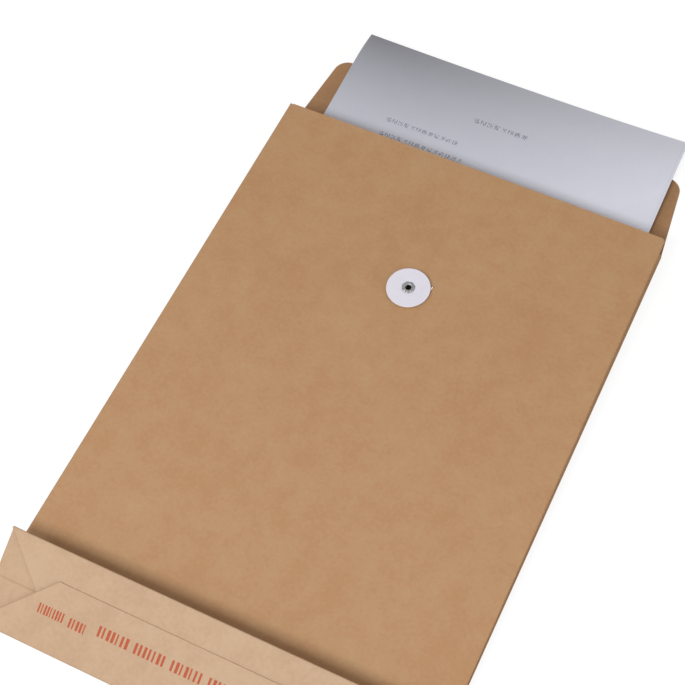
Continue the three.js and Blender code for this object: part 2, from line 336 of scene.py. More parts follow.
def rounded(corners: Sequence[Sequence[float]], radii: Sequence[float]) -> Array:
    """An outline with its corners rounded.

    Args:
        corners: The corners, anticlockwise.
        radii: The radius at each corner, or 0.

    Returns:
        The outline's points.
    """
    points = np.asarray(corners, float)
    out: list[Array] = []
    for k, radius in enumerate(radii):
        here = points[k]
        back = points[k - 1] - here
        on = points[(k + 1) % len(points)] - here
        back, on = back / np.linalg.norm(back), on / np.linalg.norm(on)
        if radius <= 0:
            out.append(here[None])
            continue
        half = math.acos(float(np.clip(back @ on, -1, 1))) / 2
        cut = radius / math.tan(half)
        middle = here + (back + on) / np.linalg.norm(back + on) * radius / math.sin(half)
        a, b = here + back * cut - middle, here + on * cut - middle
        first = math.atan2(a[1], a[0])
        sweep = (math.atan2(b[1], b[0]) - first + math.pi) % (2 * math.pi) - math.pi
        turn = first + sweep * np.linspace(0.0, 1.0, 9)
        out.append(middle + radius * np.stack([np.cos(turn), np.sin(turn)], axis=1))
    return np.concatenate(out)


@dataclass
class Ply:
    """One piece of paper: cut flat, bent into place, and given its thickness.

    Attributes:
        name: The piece's name.
        outline: Corners of the cut, anticlockwise, in flat millimetres.
        bend: Takes flat points to the middle of the bent paper.
        thickness: The paper's thickness.
        spacing: Distance between the mesh's points.
        columns: Extra lines of points across, at these first coordinates.
        rows: Extra lines of points along, at these second coordinates.
        holes: Outlines of the holes.
        pattern: Where the cut lies on the paper it comes from, for its grain.
        way: 1, or -1 where that paper lies the other way up along the cut.
        line_room: Share of the spacing within which an even line gives way to an extra one.
        edge_room: Share of the spacing that points inside keep from a cut edge, off such a line.
        least_gap: How near to a cut edge a point on such a line may lie.
        least_area: Slivers smaller than this are left out.
    """

    name: str
    outline: Array
    bend: Bend
    thickness: float = SIZE.paper
    spacing: float = 5.0
    columns: Sequence[float] = ()
    rows: Sequence[float] = ()
    holes: Sequence[Array] = ()
    pattern: tuple[float, float] = (0.0, 0.0)
    way: int = 1
    line_room: float = 0.4
    edge_room: float = 0.3
    least_gap: float = 0.05
    least_area: float = 0.001

    def _dense(self, loop: Array, lines: tuple[Array, Array]) -> Array:
        """The loop with points added where the grid's lines cross it.

        The points of a cut edge then lie in line with those inside, so that no triangle cuts
        across a tight bend beside the edge.

        Args:
            loop: The loop's corners.
            lines: Where the grid's lines lie along each axis.

        Returns:
            The loop's points.
        """
        out = []
        for a, b in zip(loop, np.roll(loop, -1, axis=0)):
            run = b - a
            long = float(np.linalg.norm(run))
            shares = [np.zeros(1)]
            for axis in (0, 1):
                if abs(run[axis]) > 1e-9:
                    shares.append((lines[axis] - a[axis]) / run[axis])
            share = np.unique(np.concatenate(shares))
            share = share[(share >= 0.0) & ((1.0 - share) * long > self.least_gap)]
            share = share[np.concatenate([[True], np.diff(share) * long > self.least_gap])]
            out.append(a + share[:, None] * run)
        return np.concatenate(out)

    def _lines(self, axis: int, extra: Sequence[float]) -> Array:
        """Where the grid's lines lie along one axis.

        Args:
            axis: 0 for the first coordinate, 1 for the second.
            extra: Lines that have to be among them. Even ones close to these give way.

        Returns:
            The lines' coordinates, in order.
        """
        low, high = self.outline[:, axis].min(), self.outline[:, axis].max()
        even = np.linspace(low, high, max(2, math.ceil((high - low) / self.spacing) + 1))
        if not len(extra):
            return even
        lines = np.asarray(extra, float)
        apart = np.abs(even[:, None] - lines[None]).min(axis=1) > self.line_room * self.spacing
        return np.sort(np.concatenate([even[apart], lines]))

    def _flat(self) -> tuple[Array, Array]:
        """Fills the flat cut with triangles on the grid's points and the loops' own.

        Returns:
            The points, and the triangles as rows of point numbers.
        """
        xs, ys = self._lines(0, self.columns), self._lines(1, self.rows)
        loops = [self._dense(self.outline, (xs, ys)), *self.holes]
        grid = np.stack(np.meshgrid(xs, ys), axis=-1).reshape(-1, 2)
        grid = grid[inside(grid, loops)]
        on_line = np.isin(grid[:, 0], self.columns) | np.isin(grid[:, 1], self.rows)
        crowded = near(grid, loops, self.edge_room * self.spacing) & ~on_line
        grid = grid[~crowded & ~near(grid, loops, self.least_gap)]
        edges, start = [], 0
        for loop in loops:
            index = np.arange(len(loop)) + start
            edges.append(np.stack([index, np.roll(index, -1)], axis=1))
            start += len(loop)
        cloud = np.concatenate([*loops, grid])
        result = delaunay_2d_cdt(
            [Vector(p) for p in cloud.tolist()], np.concatenate(edges).tolist(), [], 0, 1e-5, False
        )
        flat = np.array([tuple(v) for v in result[0]])
        tris = np.array([f for f in result[2] if len(f) == 3])
        corner = flat[tris]
        area = np.cross(corner[:, 1] - corner[:, 0], corner[:, 2] - corner[:, 0]) / 2
        keep = inside(corner.mean(axis=1), loops) & (np.abs(area) > self.least_area)
        tris = np.where((area > 0)[:, None], tris, tris[:, ::-1])[keep]
        used, tris = np.unique(tris, return_inverse=True)
        return flat[used], tris.reshape(-1, 3)

    def build(self) -> bpy.types.Object:
        """Makes the piece: two bent surfaces half a thickness off the middle, and the cut edge.

        Returns:
            The piece, in the row frame.
        """
        flat, tris = self._flat()
        step = 1e-3
        middle = self.bend(flat)
        across = self.bend(flat + [step, 0.0]) - self.bend(flat - [step, 0.0])
        along = self.bend(flat + [0.0, step]) - self.bend(flat - [0.0, step])
        out = np.cross(across, along)
        out /= np.maximum(np.linalg.norm(out, axis=1, keepdims=True), 1e-12)
        points = np.concatenate([middle + out * self.thickness / 2, middle - out * self.thickness / 2])
        count = len(flat)
        sides = np.concatenate([tris[:, [0, 1]], tris[:, [1, 2]], tris[:, [2, 0]]])
        code = sides[:, 0] * count + sides[:, 1]
        back = sides[:, 1] * count + sides[:, 0]
        rim = sides[~np.isin(code, back)]
        a, b = rim[:, 0], rim[:, 1]
        wall = np.concatenate([
            np.stack([a, a + count, b], axis=1), np.stack([b, a + count, b + count], axis=1)
        ])
        faces = np.concatenate([tris, tris[:, ::-1] + count, wall])
        uv = (np.concatenate([flat, flat]) * [1, self.way] + self.pattern) / 1000.0
        sharp = np.concatenate([rim, rim + count])
        return make_mesh(self.name, Row.metres(points), faces, uv, sharp)


def face_outwards(mesh: bpy.types.Mesh, points: Array, faces: Array) -> None:
    """Turns a closed mesh's faces round when its volume comes out negative.

    Args:
        mesh: The mesh.
        points: Its points, as rows.
        faces: Its faces, as rows of point numbers. Their triple products add up to the volume.
    """
    first, *others = (points[faces[:, k]] for k in range(faces.shape[1]))
    volume = 0.0
    for second, third in zip(others, others[1:]):
        volume += float((first * np.cross(second, third)).sum())
    if volume < 0:
        mesh.flip_normals()


def make_mesh(
    name: str, points: Array, faces: Array, uv: Array | None = None, sharp: Array | None = None
) -> bpy.types.Object:
    """A mesh object from arrays.

    Args:
        name: The object's name.
        points: Its points in metres.
        faces: Triangles or quads, as rows of point numbers.
        uv: A UV coordinate for each point, if any.
        sharp: Pairs of points whose edges stay sharp, if any.

    Returns:
        The object, linked to the scene.
    """
    mesh = bpy.data.meshes.new(name)
    sides = faces.shape[1]
    mesh.vertices.add(len(points))
    mesh.vertices.foreach_set("co", np.ascontiguousarray(points, np.float32).ravel())
    mesh.loops.add(faces.size)
    mesh.loops.foreach_set("vertex_index", np.ascontiguousarray(faces, np.int32).ravel())
    mesh.polygons.add(len(faces))
    mesh.polygons.foreach_set("loop_start", np.arange(len(faces), dtype=np.int32) * sides)
    mesh.polygons.foreach_set("use_smooth", np.ones(len(faces), bool))
    mesh.update(calc_edges=True)
    if uv is not None:
        layer = mesh.uv_layers.new(name="flat")
        layer.data.foreach_set("uv", np.ascontiguousarray(uv[faces.ravel()], np.float32).ravel())
    if sharp is not None:
        pairs = np.zeros(len(mesh.edges) * 2, np.int32)
        mesh.edges.foreach_get("vertices", pairs)
        pairs = np.sort(pairs.reshape(-1, 2), axis=1)
        wanted = np.sort(sharp, axis=1)
        size = len(points)
        flags = np.isin(pairs[:, 0] * size + pairs[:, 1], wanted[:, 0] * size + wanted[:, 1])
        mesh.attributes.new("sharp_edge", "BOOLEAN", "EDGE").data.foreach_set("value", flags)
    mesh.validate()
    face_outwards(mesh, points, faces)
    made = bpy.data.objects.new(name, mesh)
    bpy.context.scene.collection.objects.link(made)
    return made


def lathe(name: str, surface: Callable[[Array, Array], Array], loops: int, steps: int) -> bpy.types.Object:
    """A ring round Z from a surface that closes on itself both ways.

    Args:
        name: The object's name.
        surface: Takes profile numbers and angles to points in millimetres.
        loops: Number of points in the profile.
        steps: Number of points round the ring.

    Returns:
        The object.
    """
    k, turn = np.meshgrid(np.arange(loops), np.arange(steps) * 2 * math.pi / steps, indexing="ij")
    points = surface(k, turn).reshape(-1, 3)
    index = np.arange(loops * steps).reshape(loops, steps)
    down, round_ = np.roll(index, -1, axis=0), np.roll(index, -1, axis=1)
    both = np.roll(down, -1, axis=1)
    faces = np.stack([index, round_, both, down], axis=-1).reshape(-1, 4)
    return make_mesh(name, Row.metres(points), faces)


class Value:
    """A shader socket that takes part in plain arithmetic."""

    def __init__(self, net: Net, socket: bpy.types.NodeSocket) -> None:
        """Wraps one output socket of a net."""
        self.net = net
        self.socket = socket

    def _maths(self, operation: str, *others: Value | float, clamp: bool = False) -> Value:
        """Adds a Math node.

        Args:
            operation: What it does.
            *others: The values after this one.
            clamp: Whether the result is held between 0 and 1.

        Returns:
            The result.
        """
        settings = {"operation": operation, "use_clamp": clamp}
        return self.net.node("Math", "Value", settings, self, *others)

    def __add__(self, other: Value | float) -> Value:
        """This value plus another."""
        return self._maths("ADD", other)

    def __sub__(self, other: Value | float) -> Value:
        """This value less another."""
        return self._maths("SUBTRACT", other)

    def __mul__(self, other: Value | float) -> Value:
        """This value times another."""
        return self._maths("MULTIPLY", other)

    def __truediv__(self, other: Value | float) -> Value:
        """This value over another."""
        return self._maths("DIVIDE", other)

    def __pow__(self, other: Value | float) -> Value:
        """This value to the power of another."""
        return self._maths("POWER", other)

    __radd__, __rmul__ = __add__, __mul__

    def __rsub__(self, other: float) -> Value:
        """A number less this value."""
        return self * -1.0 + other

    def __abs__(self) -> Value:
        """This value without its sign."""
        return self._maths("ABSOLUTE")

    def above(self, level: Value | float) -> Value:
        """1 where the value is over the level, and 0 elsewhere."""
        return self._maths("GREATER_THAN", level)

    def below(self, level: Value | float) -> Value:
        """1 where the value is under the level, and 0 elsewhere."""
        return self._maths("LESS_THAN", level)

    def fraction(self) -> Value:
        """The part after the decimal point."""
        return self._maths("FRACT")

    def floor(self) -> Value:
        """The whole number below the value."""
        return self._maths("FLOOR")

    def most(self, other: Value | float) -> Value:
        """The larger of two values."""
        return self._maths("MAXIMUM", other)

    def clamped(self) -> Value:
        """The value held between 0 and 1."""
        return self._maths("ADD", 0.0, clamp=True)

    def ramp(self, low: float, high: float) -> Value:
        """A smooth step from 0 at low to 1 at high."""
        settings = {"interpolation_type": "SMOOTHSTEP"}
        return self.net.node("MapRange", "Result", settings, Value=self, From_Min=low, From_Max=high)


Feed = Value | float | Sequence[float]


class Net:
    """The node tree of a material or of the world, which owns it."""

    def __init__(self, owner: bpy.types.Material | bpy.types.World) -> None:
        """Takes over the owner's tree and empties it.

        Args:
            owner: The material or the world.
        """
        owner.use_nodes = True
        self.owner = owner
        self.tree = owner.node_tree
        self.tree.nodes.clear()

    def feed(self, socket: bpy.types.NodeSocket, value: Feed) -> None:
        """Links a value to a socket, or sets the socket to it.

        Args:
            socket: The socket.
            value: The value or the link.
        """
        if isinstance(value, Value):
            self.tree.links.new(value.socket, socket)
        else:
            socket.default_value = value

    def node(
        self, kind: str, output: str, settings: dict[str, object] | None = None,
        *firsts: Feed, **inputs: Feed,
    ) -> Value:
        """Adds a node and returns one of its outputs.

        Args:
            kind: The node's type, without its usual first word.
            output: The output's name.
            settings: The node's own settings, which are set first.
            *firsts: Values or links for its first inputs, in order.
            **inputs: Values or links for inputs by name, with _ for a space.

        Returns:
            The output.
        """
        made = self.tree.nodes.new("ShaderNode" + kind)
        for key, value in (settings or {}).items():
            setattr(made, key, value)
        for socket, value in zip(made.inputs, firsts):
            self.feed(socket, value)
        for key, value in inputs.items():
            self.feed(made.inputs[key.replace("_", " ")], value)
        return Value(self, made.outputs[output])

    def mix(self, share: Value | float, low: Feed, high: Feed) -> Value:
        """A colour between two others, from low at a share of 0 to high at 1."""
        return self.node("Mix", "Result", {"data_type": "RGBA"}, Factor=share, A=low, B=high)

    def noise(self, place: Value, scale: float, detail: float = 2.0, rough: float = 0.5) -> Value:
        """Smooth noise from 0 to 1.

        Args:
            place: Where it is read, in metres.
            scale: Number of its patches in a metre.
            detail: How many finer noises are added to it.
            rough: How strong the finer ones are.

        Returns:
            The noise.
        """
        return self.node("TexNoise", "Fac", Vector=place, Scale=scale, Detail=detail, Roughness=rough)

    def chance(self, number: Value) -> Value:
        """A number from 0 to 1 that is fixed for each whole number."""
        return self.node("TexWhiteNoise", "Value", {"noise_dimensions": "1D"}, W=number)

    def fibres(self, place: Value, across: float, along: float, turn: float, detail: float) -> Value:
        """Noise drawn out one way, as fibres are.

        Args:
            place: Where it is read, in metres.
            across: Number of its patches in a metre across the paper.
            along: Number of them in a metre along it.
            turn: How far the pattern is turned, in radians.
            detail: How many finer noises are added to it.

        Returns:
            The noise.
        """
        drawn = self.node(
            "Mapping", "Vector", Vector=place, Rotation=(0.0, 0.0, turn), Scale=(across, along, 1.0)
        )
        return self.noise(drawn, 1.0, detail, 0.6)

    def flat(self) -> Value:
        """The piece's flat coordinates, in metres."""
        return self.node("UVMap", "UV", {"uv_map": "flat"})

    def place(self) -> Value:
        """The piece's own coordinates, in metres."""
        return self.node("TexCoord", "Object")

    def millimetres(self, place: Value) -> tuple[Value, Value]:
        """The first two coordinates of a place in metres, in millimetres."""
        u, v = (self.node("SeparateXYZ", axis, Vector=place) for axis in "XY")
        return u * 1000.0, v * 1000.0

    def end(self, kind: str, surface: Value) -> None:
        """Ends the tree of a Material or of the World, whichever kind says."""
        end = self.tree.nodes.new("ShaderNodeOutput" + kind)
        self.feed(end.inputs["Surface"], surface)

    def finish(self, height: Value | None = None, depth: float = 0.0, **inputs: Feed) -> bpy.types.Material:
        """Ends the tree with a principled surface.

        Args:
            height: Relief for the bump, if any.
            depth: The relief's depth in metres.
            **inputs: Values or links for the surface's inputs, with _ for a space.

        Returns:
            The material.
        """
        if height is not None:
            inputs["Normal"] = self.node("Bump", "Normal", Height=height, Distance=depth, Strength=1.0)
        self.end("Material", self.node("BsdfPrincipled", "BSDF", **inputs))
        return self.owner


def colour(code: str) -> tuple[float, float, float, float]:
    """A linear colour from six hexadecimal digits, by the usual screen curve."""
    parts = np.frombuffer(bytes.fromhex(code), np.uint8) / 255.0
    return (*np.where(parts <= 0.04045, parts / 12.92, ((parts + 0.055) / 1.055) ** 2.4).tolist(), 1.0)


@dataclass(frozen=True)
class Bar:
    """One line of upright strokes that stands for print, in flat millimetres.

    Attributes:
        left: Where the line starts.
        right: Where it ends.
        middle: Height of its middle.
        height: Height of its strokes.
        pitch: Width of a stroke with its gap.
        word: Number of strokes after which one is left out.
        broken: Whether short gaps break the strokes up, as in small type.
        stroke: Least share of the pitch that a stroke takes. The widest takes twice that.
        bits: Number of bits that a broken stroke may have.
        missing: Share of those bits that is left out.
    """

    left: float
    right: float
    middle: float
    height: float
    pitch: float
    word: int = 5
    broken: bool = False
    stroke: float = 0.34
    bits: float = 5.0
    missing: float = 0.36

    def mask(self, net: Net, u: Value, v: Value) -> Value:
        """The line's strokes. Chance gives each its width, from its number.

        Args:
            net: The material's net.
            u: Flat distance across.
            v: Flat distance along.

        Returns:
            1 on the strokes, and 0 elsewhere.
        """
        step = (u - self.left) / self.pitch
        number = step.floor()
        inked = step.fraction().below(self.stroke + self.stroke * net.chance(number))
        cycle = self.word + 1.0
        inked = inked * (number / cycle).fraction().below(self.word / cycle - 0.01)
        if self.broken:
            row = ((v - self.middle) / (self.height / self.bits)).floor()
            inked = inked * net.chance(number * 17.0 + row).above(self.missing)
        within = u.above(self.left) * u.below(self.right)
        return abs(v - self.middle).below(self.height / 2) * within * inked


@dataclass(frozen=True)
class CreaseShade:
    """A line of painted shade along a fold or a raised cut edge of a paper, in flat millimetres; at a cut
    edge it stands also for the edge's own darker brown.

    Attributes:
        start: One end.
        end: The other end.
        width: How far it reaches to each side.
        depth: How dark it is, from 0 to 1.
    """

    start: tuple[float, float]
    end: tuple[float, float]
    width: float = 0.8
    depth: float = 0.5

    def mask(self, u: Value, v: Value) -> Value:
        """The line's darkness: its depth in the middle, falling to 0 at its sides.

        Args:
            u: Flat distance across.
            v: Flat distance along.

        Returns:
            The darkness, from 0 to 1.
        """
        run = np.subtract(self.end, self.start)
        long = float(np.linalg.norm(run))
        along = (run / long).tolist()
        du, dv = u - self.start[0], v - self.start[1]
        off = abs(du * along[1] - dv * along[0])
        way = du * along[0] + dv * along[1]
        return off.ramp(self.width, 0.0) * way.above(0.0) * way.below(long) * self.depth


@dataclass(frozen=True)
class PaintedShade:
    """Painted shade: a soft darker area round one point of a paper, in flat millimetres.

    Attributes:
        centre: Its darkest point.
        reach: How far it reaches across and along.
        depth: How dark its darkest point is, from 0 to 1.
    """

    centre: tuple[float, float]
    reach: tuple[float, float]
    depth: float

    def mask(self, u: Value, v: Value) -> Value:
        """The area's darkness: its depth at the centre, falling evenly to 0 on an ellipse.

        Args:
            u: Flat distance across.
            v: Flat distance along.

        Returns:
            The darkness, from 0 to 1.
        """
        across = (u - self.centre[0]) / self.reach[0]
        along = (v - self.centre[1]) / self.reach[1]
        return (1.0 - (across * across + along * along) ** 0.5).clamped() * self.depth


@dataclass(frozen=True)
class PaperFinish:
    """How a paper or a card looks.

    Attributes:
        name: The material's name.
        base: Its usual colour.
        pale: Colour of its paler clouds.
        dark: Colour of its darker clouds and specks.
        fleck: Colour of its fibres.
        clouds: How strongly the clouds show.
        fibres: How strongly the fibres show.
        roughness: Its roughness.
        relief: Depth of its surface in metres.
        gloss: How strongly it shines.
        ink: Colour of the print on it.
        bars: Its print.
        crease: Colour of its painted crease and edge shade.
        creases: Its lines of painted shade along folds and raised cut edges, which at a cut edge also give
            the edge's own brown.
        painted_shade: Where shade is painted on it as a darker area, if anywhere.
    """

    name: str
    base: str
    pale: str
    dark: str
    fleck: str
    clouds: float = 0.52
    fibres: float = 0.35
    roughness: float = 0.66
    relief: float = 0.00004
    gloss: float = 0.45
    ink: str = "000000"
    bars: tuple[Bar, ...] = ()
    crease: str = "8a6238"
    creases: tuple[CreaseShade, ...] = ()
    painted_shade: PaintedShade | None = None

    def material(self) -> bpy.types.Material:
        """Builds the material: clouds, fibres and specks, then its painted shade and its print.

        Returns:
            The material.
        """
        net = Net(bpy.data.materials.new(self.name))
        flat = net.flat()
        clouds = net.noise(flat, 85.0, 4.0, 0.6)
        broad = net.noise(flat, 22.0)
        lines = net.fibres(flat, 260.0, 1500.0, 0.12, 2.0)
        threads = net.fibres(flat, 1400.0, 320.0, -0.3, 3.0)
        grain = net.noise(flat, 2600.0, 2.0, 0.7)
        pulp = net.noise(flat, 420.0, 3.0, 0.65)
        cloudy = clouds * 0.32 + broad * 0.22 + pulp * 0.3 + grain * 0.16
        tint = net.mix(cloudy.ramp(0.42, 0.66) * self.clouds, colour(self.base), colour(self.pale))
        tint = net.mix(cloudy.ramp(0.54, 0.34) * self.clouds, tint, colour(self.dark))
        fibre = (lines.ramp(0.62, 0.78) + threads.ramp(0.64, 0.8)).clamped()
        tint = net.mix(fibre * self.fibres, tint, colour(self.fleck))
        specks = net.noise(flat, 900.0, 1.0).ramp(0.70, 0.76)
        tint = net.mix(specks * self.fibres * 0.7, tint, colour(self.dark))
        tint = self._shade_and_print(net, tint, grain)
        height = grain * 0.5 + lines * 0.3 + clouds * 0.2
        return net.finish(
            height, self.relief, Base_Color=tint,
            Roughness=self.roughness + (grain - 0.5) * 0.12, Specular_IOR_Level=self.gloss,
        )

    def _shade_and_print(self, net: Net, tint: Value, grain: Value) -> Value:
        """The paper's colour with its painted shade, its painted crease and edge shade lines and its print
        over it.

        Args:
            net: The material's net.
            tint: The plain paper's colour.
            grain: The paper's grain, which thins the ink.

        Returns:
            The colour.
        """
        u, v = net.millimetres(net.flat())
        # Painted shade: a soft darker area round one point of the paper.
        if self.painted_shade is not None:
            tint = net.mix(self.painted_shade.mask(u, v), tint, colour("000000"))
        # Painted shade along folds and raised cut edges, at a cut edge partly the edge's own brown.
        for crease in self.creases:
            tint = net.mix(crease.mask(u, v), tint, colour(self.crease))
        if self.bars:
            ink = self.bars[0].mask(net, u, v)
            for bar in self.bars[1:]:
                ink = ink.most(bar.mask(net, u, v))
            worn = ink * (0.8 + 0.2 * grain.ramp(0.3, 0.6))
            tint = net.mix(worn, tint, colour(self.ink))
        return tint


@dataclass(frozen=True)
class MetalFinish:
    """How the eyelets look: bright plate, a little worn.

    Attributes:
        name: The material's name.
        bright: Its usual colour.
        worn: Its colour where it is worn.
        roughness: Its roughness where it is bright.
        wear: How much rougher it is where it is worn.
        relief: Depth of its surface in metres.
    """

    name: str
    bright: str
    worn: str
    roughness: float = 0.3
    wear: float = 0.2
    relief: float = 0.000006

    def material(self) -> bpy.types.Material:
        """Builds the material from two noises, one for the wear and one for the relief.

        Returns:
            The material.
        """
        net = Net(bpy.data.materials.new(self.name))
        place = net.place()
        wear = net.noise(place, 1400.0, 3.0, 0.6)
        fine = net.noise(place, 6000.0)
        tint = net.mix(wear.ramp(0.35, 0.75), colour(self.bright), colour(self.worn))
        roughness = self.roughness + wear * self.wear
        return net.finish(fine, self.relief, Base_Color=tint, Metallic=1.0, Roughness=roughness)


@dataclass(frozen=True)
class CottonFinish:
    """How the string looks: pale cotton with a soft surface.

    Attributes:
        name: The material's name.
        deep: Colour of its hollows.
        pale: Colour of its fuzz.
        roughness: Its roughness.
        relief: Depth of its surface in metres.
    """

    name: str
    deep: str
    pale: str
    roughness: float = 0.9
    relief: float = 0.00004

    def material(self) -> bpy.types.Material:
        """Builds the material from one noise, which is both its colour and its relief.

        Returns:
            The material.
        """
        net = Net(bpy.data.materials.new(self.name))
        fuzz = net.noise(net.place(), 3500.0, 3.0, 0.6)
        tint = net.mix(fuzz.ramp(0.3, 0.7), colour(self.deep), colour(self.pale))
        return net.finish(
            fuzz, self.relief, Base_Color=tint, Roughness=self.roughness, Sheen_Weight=0.2,
            Specular_IOR_Level=0.2,
        )


class Finish(Enum):
    """The finishes. Each is named as the record's material slot, apart from the printed ones."""

    KRAFT_OUTSIDE = "kraft_outside"
    KRAFT_INSIDE_SHADED = "kraft_inside"
    KRAFT_BOTTOM_SHEEN = "kraft_bottom"
    SHEET_PAPER = "sheet_paper"
    PRINTED_SHADED_SHEET = "printed_sheet"
    PRINTED_BOTTOM_SHEEN = "printed_bottom"
    BUTTON_CARD = "button_card"
    EYELET_METAL = "eyelet_metal"
    COTTON_STRING = "cotton_string"

    @property
    def slot(self) -> str:
        """The record's slot that the finish belongs to."""
        plain = {"printed_sheet": "sheet_paper", "printed_bottom": "kraft_bottom"}
        return plain.get(self.value, self.value)


SHEET_PRINT = (
    Bar(-18.5, 17.0, -37.0, 3.2, 0.9, 4, True),
    Bar(-68.0, -20.0, -57.5, 3.0, 0.8, 4, True),
    Bar(-68.0, -14.0, -68.5, 3.0, 0.8, 4, True),
    *(Bar(-68.0, 72.0 - 11.0 * (k % 3), -79.5 - 11.0 * k, 3.0, 0.8, 4, True) for k in range(3)),
)
BOTTOM_PRINT = (
    Bar(-91.0, -75.5, -18.5, 5.0, 1.7, 9),
    Bar(-73.0, -60.5, -18.0, 5.0, 2.1, 5),
    Bar(-57.0, 57.0, -20.5, 5.6, 2.6, 7),
)


def slanted_creases(start: float, way: int) -> tuple[CreaseShade, ...]:
    """The painted shade lines along the 45 degree folds at both ends of the bottom, where the flaps'
    slanted cut edges stand up.

    Args:
        start: Where they start at the envelope's sides, along the flat paper.
        way: 1 where they run on along it from there, and -1 where they run back.

    Returns:
        The left one and the right one.
    """
    slant = SIZE.base_flap
    return tuple(
        CreaseShade((side * SIZE.half, start), (side * (SIZE.half - slant), start + way * slant))
        for side in (-1, 1)
    )


# Length of the inner flap's rounded fold, after which its slanted ends begin.
INNER_FOLD = 2.6
# Lines of painted shade along the bottom flaps' raised slanted edges, partly the cut edges' own darker
# brown, and along the fold across the tucks.
OUTER_CREASES = slanted_creases(0.0, -1)
TUCK_LINE = TUCK_CUT[1] + SIZE.base_depth / 2
TUCK_CREASE = CreaseShade((TUCK_CUT[0] - 40.0, TUCK_LINE), (TUCK_CUT[0] + 40.0, TUCK_LINE), 1.0, 0.3)
INNER_CREASES = (*slanted_creases(INNER_CUT[1] + INNER_FOLD, 1), TUCK_CREASE)
# Base, pale, dark and fleck colours, then the clouds, fibres, roughness and relief of the whites.
KRAFT = ("b38961", "b99a72", "ab7e56", "cba480")
# The kraft's inner face, darker than KRAFT: partly its own duller colour, partly painted shade from the
# raised front falling on the open flap.
INSIDE_SHADED = ("a27a55", "ab835d", "966f4c", "bb9269")
# The raised bottom's kraft, paler and less pink than KRAFT: a painted sheen, as the raised bottom faces the
# light.
BOTTOM_SHEEN = ("bb9b7b", "c2a787", "ae8d6f", "d0b296")
WHITE = ("dddfeb", "e2e4ee", "d8dbe7", "e5e7f1", 0.4, 0.05, 0.6, 0.00001)
CARD = ("e2e0ea", "e2e0ea", "d5d3dd", "e8e6ee", 0.4, 0.2, 0.62, 0.00003)
LOOKS: dict[Finish, PaperFinish | MetalFinish | CottonFinish] = {
    Finish.KRAFT_OUTSIDE: PaperFinish("Kraft_Outside", *KRAFT),
    Finish.KRAFT_INSIDE_SHADED: PaperFinish("Kraft_Inside_Shaded", *INSIDE_SHADED),
    Finish.KRAFT_BOTTOM_SHEEN: PaperFinish("Kraft_Bottom_Sheen", *BOTTOM_SHEEN, creases=INNER_CREASES),
    Finish.PRINTED_BOTTOM_SHEEN: PaperFinish(
        "Kraft_Bottom_Sheen_Printed", *BOTTOM_SHEEN, ink="ad4418", bars=BOTTOM_PRINT, creases=OUTER_CREASES
    ),
    Finish.SHEET_PAPER: PaperFinish("Sheet_Paper", *WHITE),
    Finish.PRINTED_SHADED_SHEET: PaperFinish(
        "Sheet_Paper_Printed_Shaded", *WHITE, ink="5c5e6a", bars=SHEET_PRINT,
        # Painted shade on the top sheet, darkest at its far left-hand corner.
        painted_shade=PaintedShade((-105.0, 6.0), (235.0, 105.0), 0.7),
    ),
    Finish.BUTTON_CARD: PaperFinish("Button_Card", *CARD),
    Finish.EYELET_METAL: MetalFinish("Eyelet_Metal", "9c9c9b", "6d6d6f"),
    Finish.COTTON_STRING: CottonFinish("Cotton_String", "e6d6d2", "f7f0ee"),
}


@cache
def material_of(finish: Finish) -> bpy.types.Material:
    """The finish's material, made once, when a piece first asks for it."""
    return LOOKS[finish].material()


def dress(
    piece: bpy.types.Object, finish: Finish, *nodes: str, body: str | None = None
) -> bpy.types.Object:
    """Gives a piece its finish, hides the CAD nodes it replaces and puts it on the body it rides on.

    Args:
        piece: The piece.
        finish: Its finish.
        *nodes: The CAD nodes that it replaces.
        body: The body that it rides on, if it rides on one alone.

    Returns:
        The piece.
    """
    piece.data.materials.append(material_of(finish))
    if nodes:
        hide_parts(*nodes)
    if body is not None:
        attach(piece, body)
    LOG.info("made %s", piece.name)
    return piece


def over(profile: Profile, lift: Callable[[Array, Array], Array] | None = None) -> Bend:
    """Bends paper over a profile: the first coordinate stays X, the second runs along it.

    Args:
        profile: The profile, in Y and Z.
        lift: Height added at each X and Y, if any.

    Returns:
        The bend.
    """

    def bend(flat: Array) -> Array:
        """Takes flat points to their place."""
        y, z = profile.at(flat[:, 1])
        return np.stack([flat[:, 0], y, z if lift is None else z + lift(flat[:, 0], y)], axis=1)

    return bend


def fold_rows(length: float, steps: int = FOLD_STEPS) -> Array:
    """Lines of points close together over a fold at the start of a ply."""
    return np.linspace(0.0, length, steps + 1)


def quadratic(start: Array, pull: Array, end: Array, t: Array) -> Array:
    """The quadratic curve from start to end that leans towards pull, at t from 0 to 1."""
    return (1 - t) ** 2 * start + 2 * t * (1 - t) * pull + t**2 * end


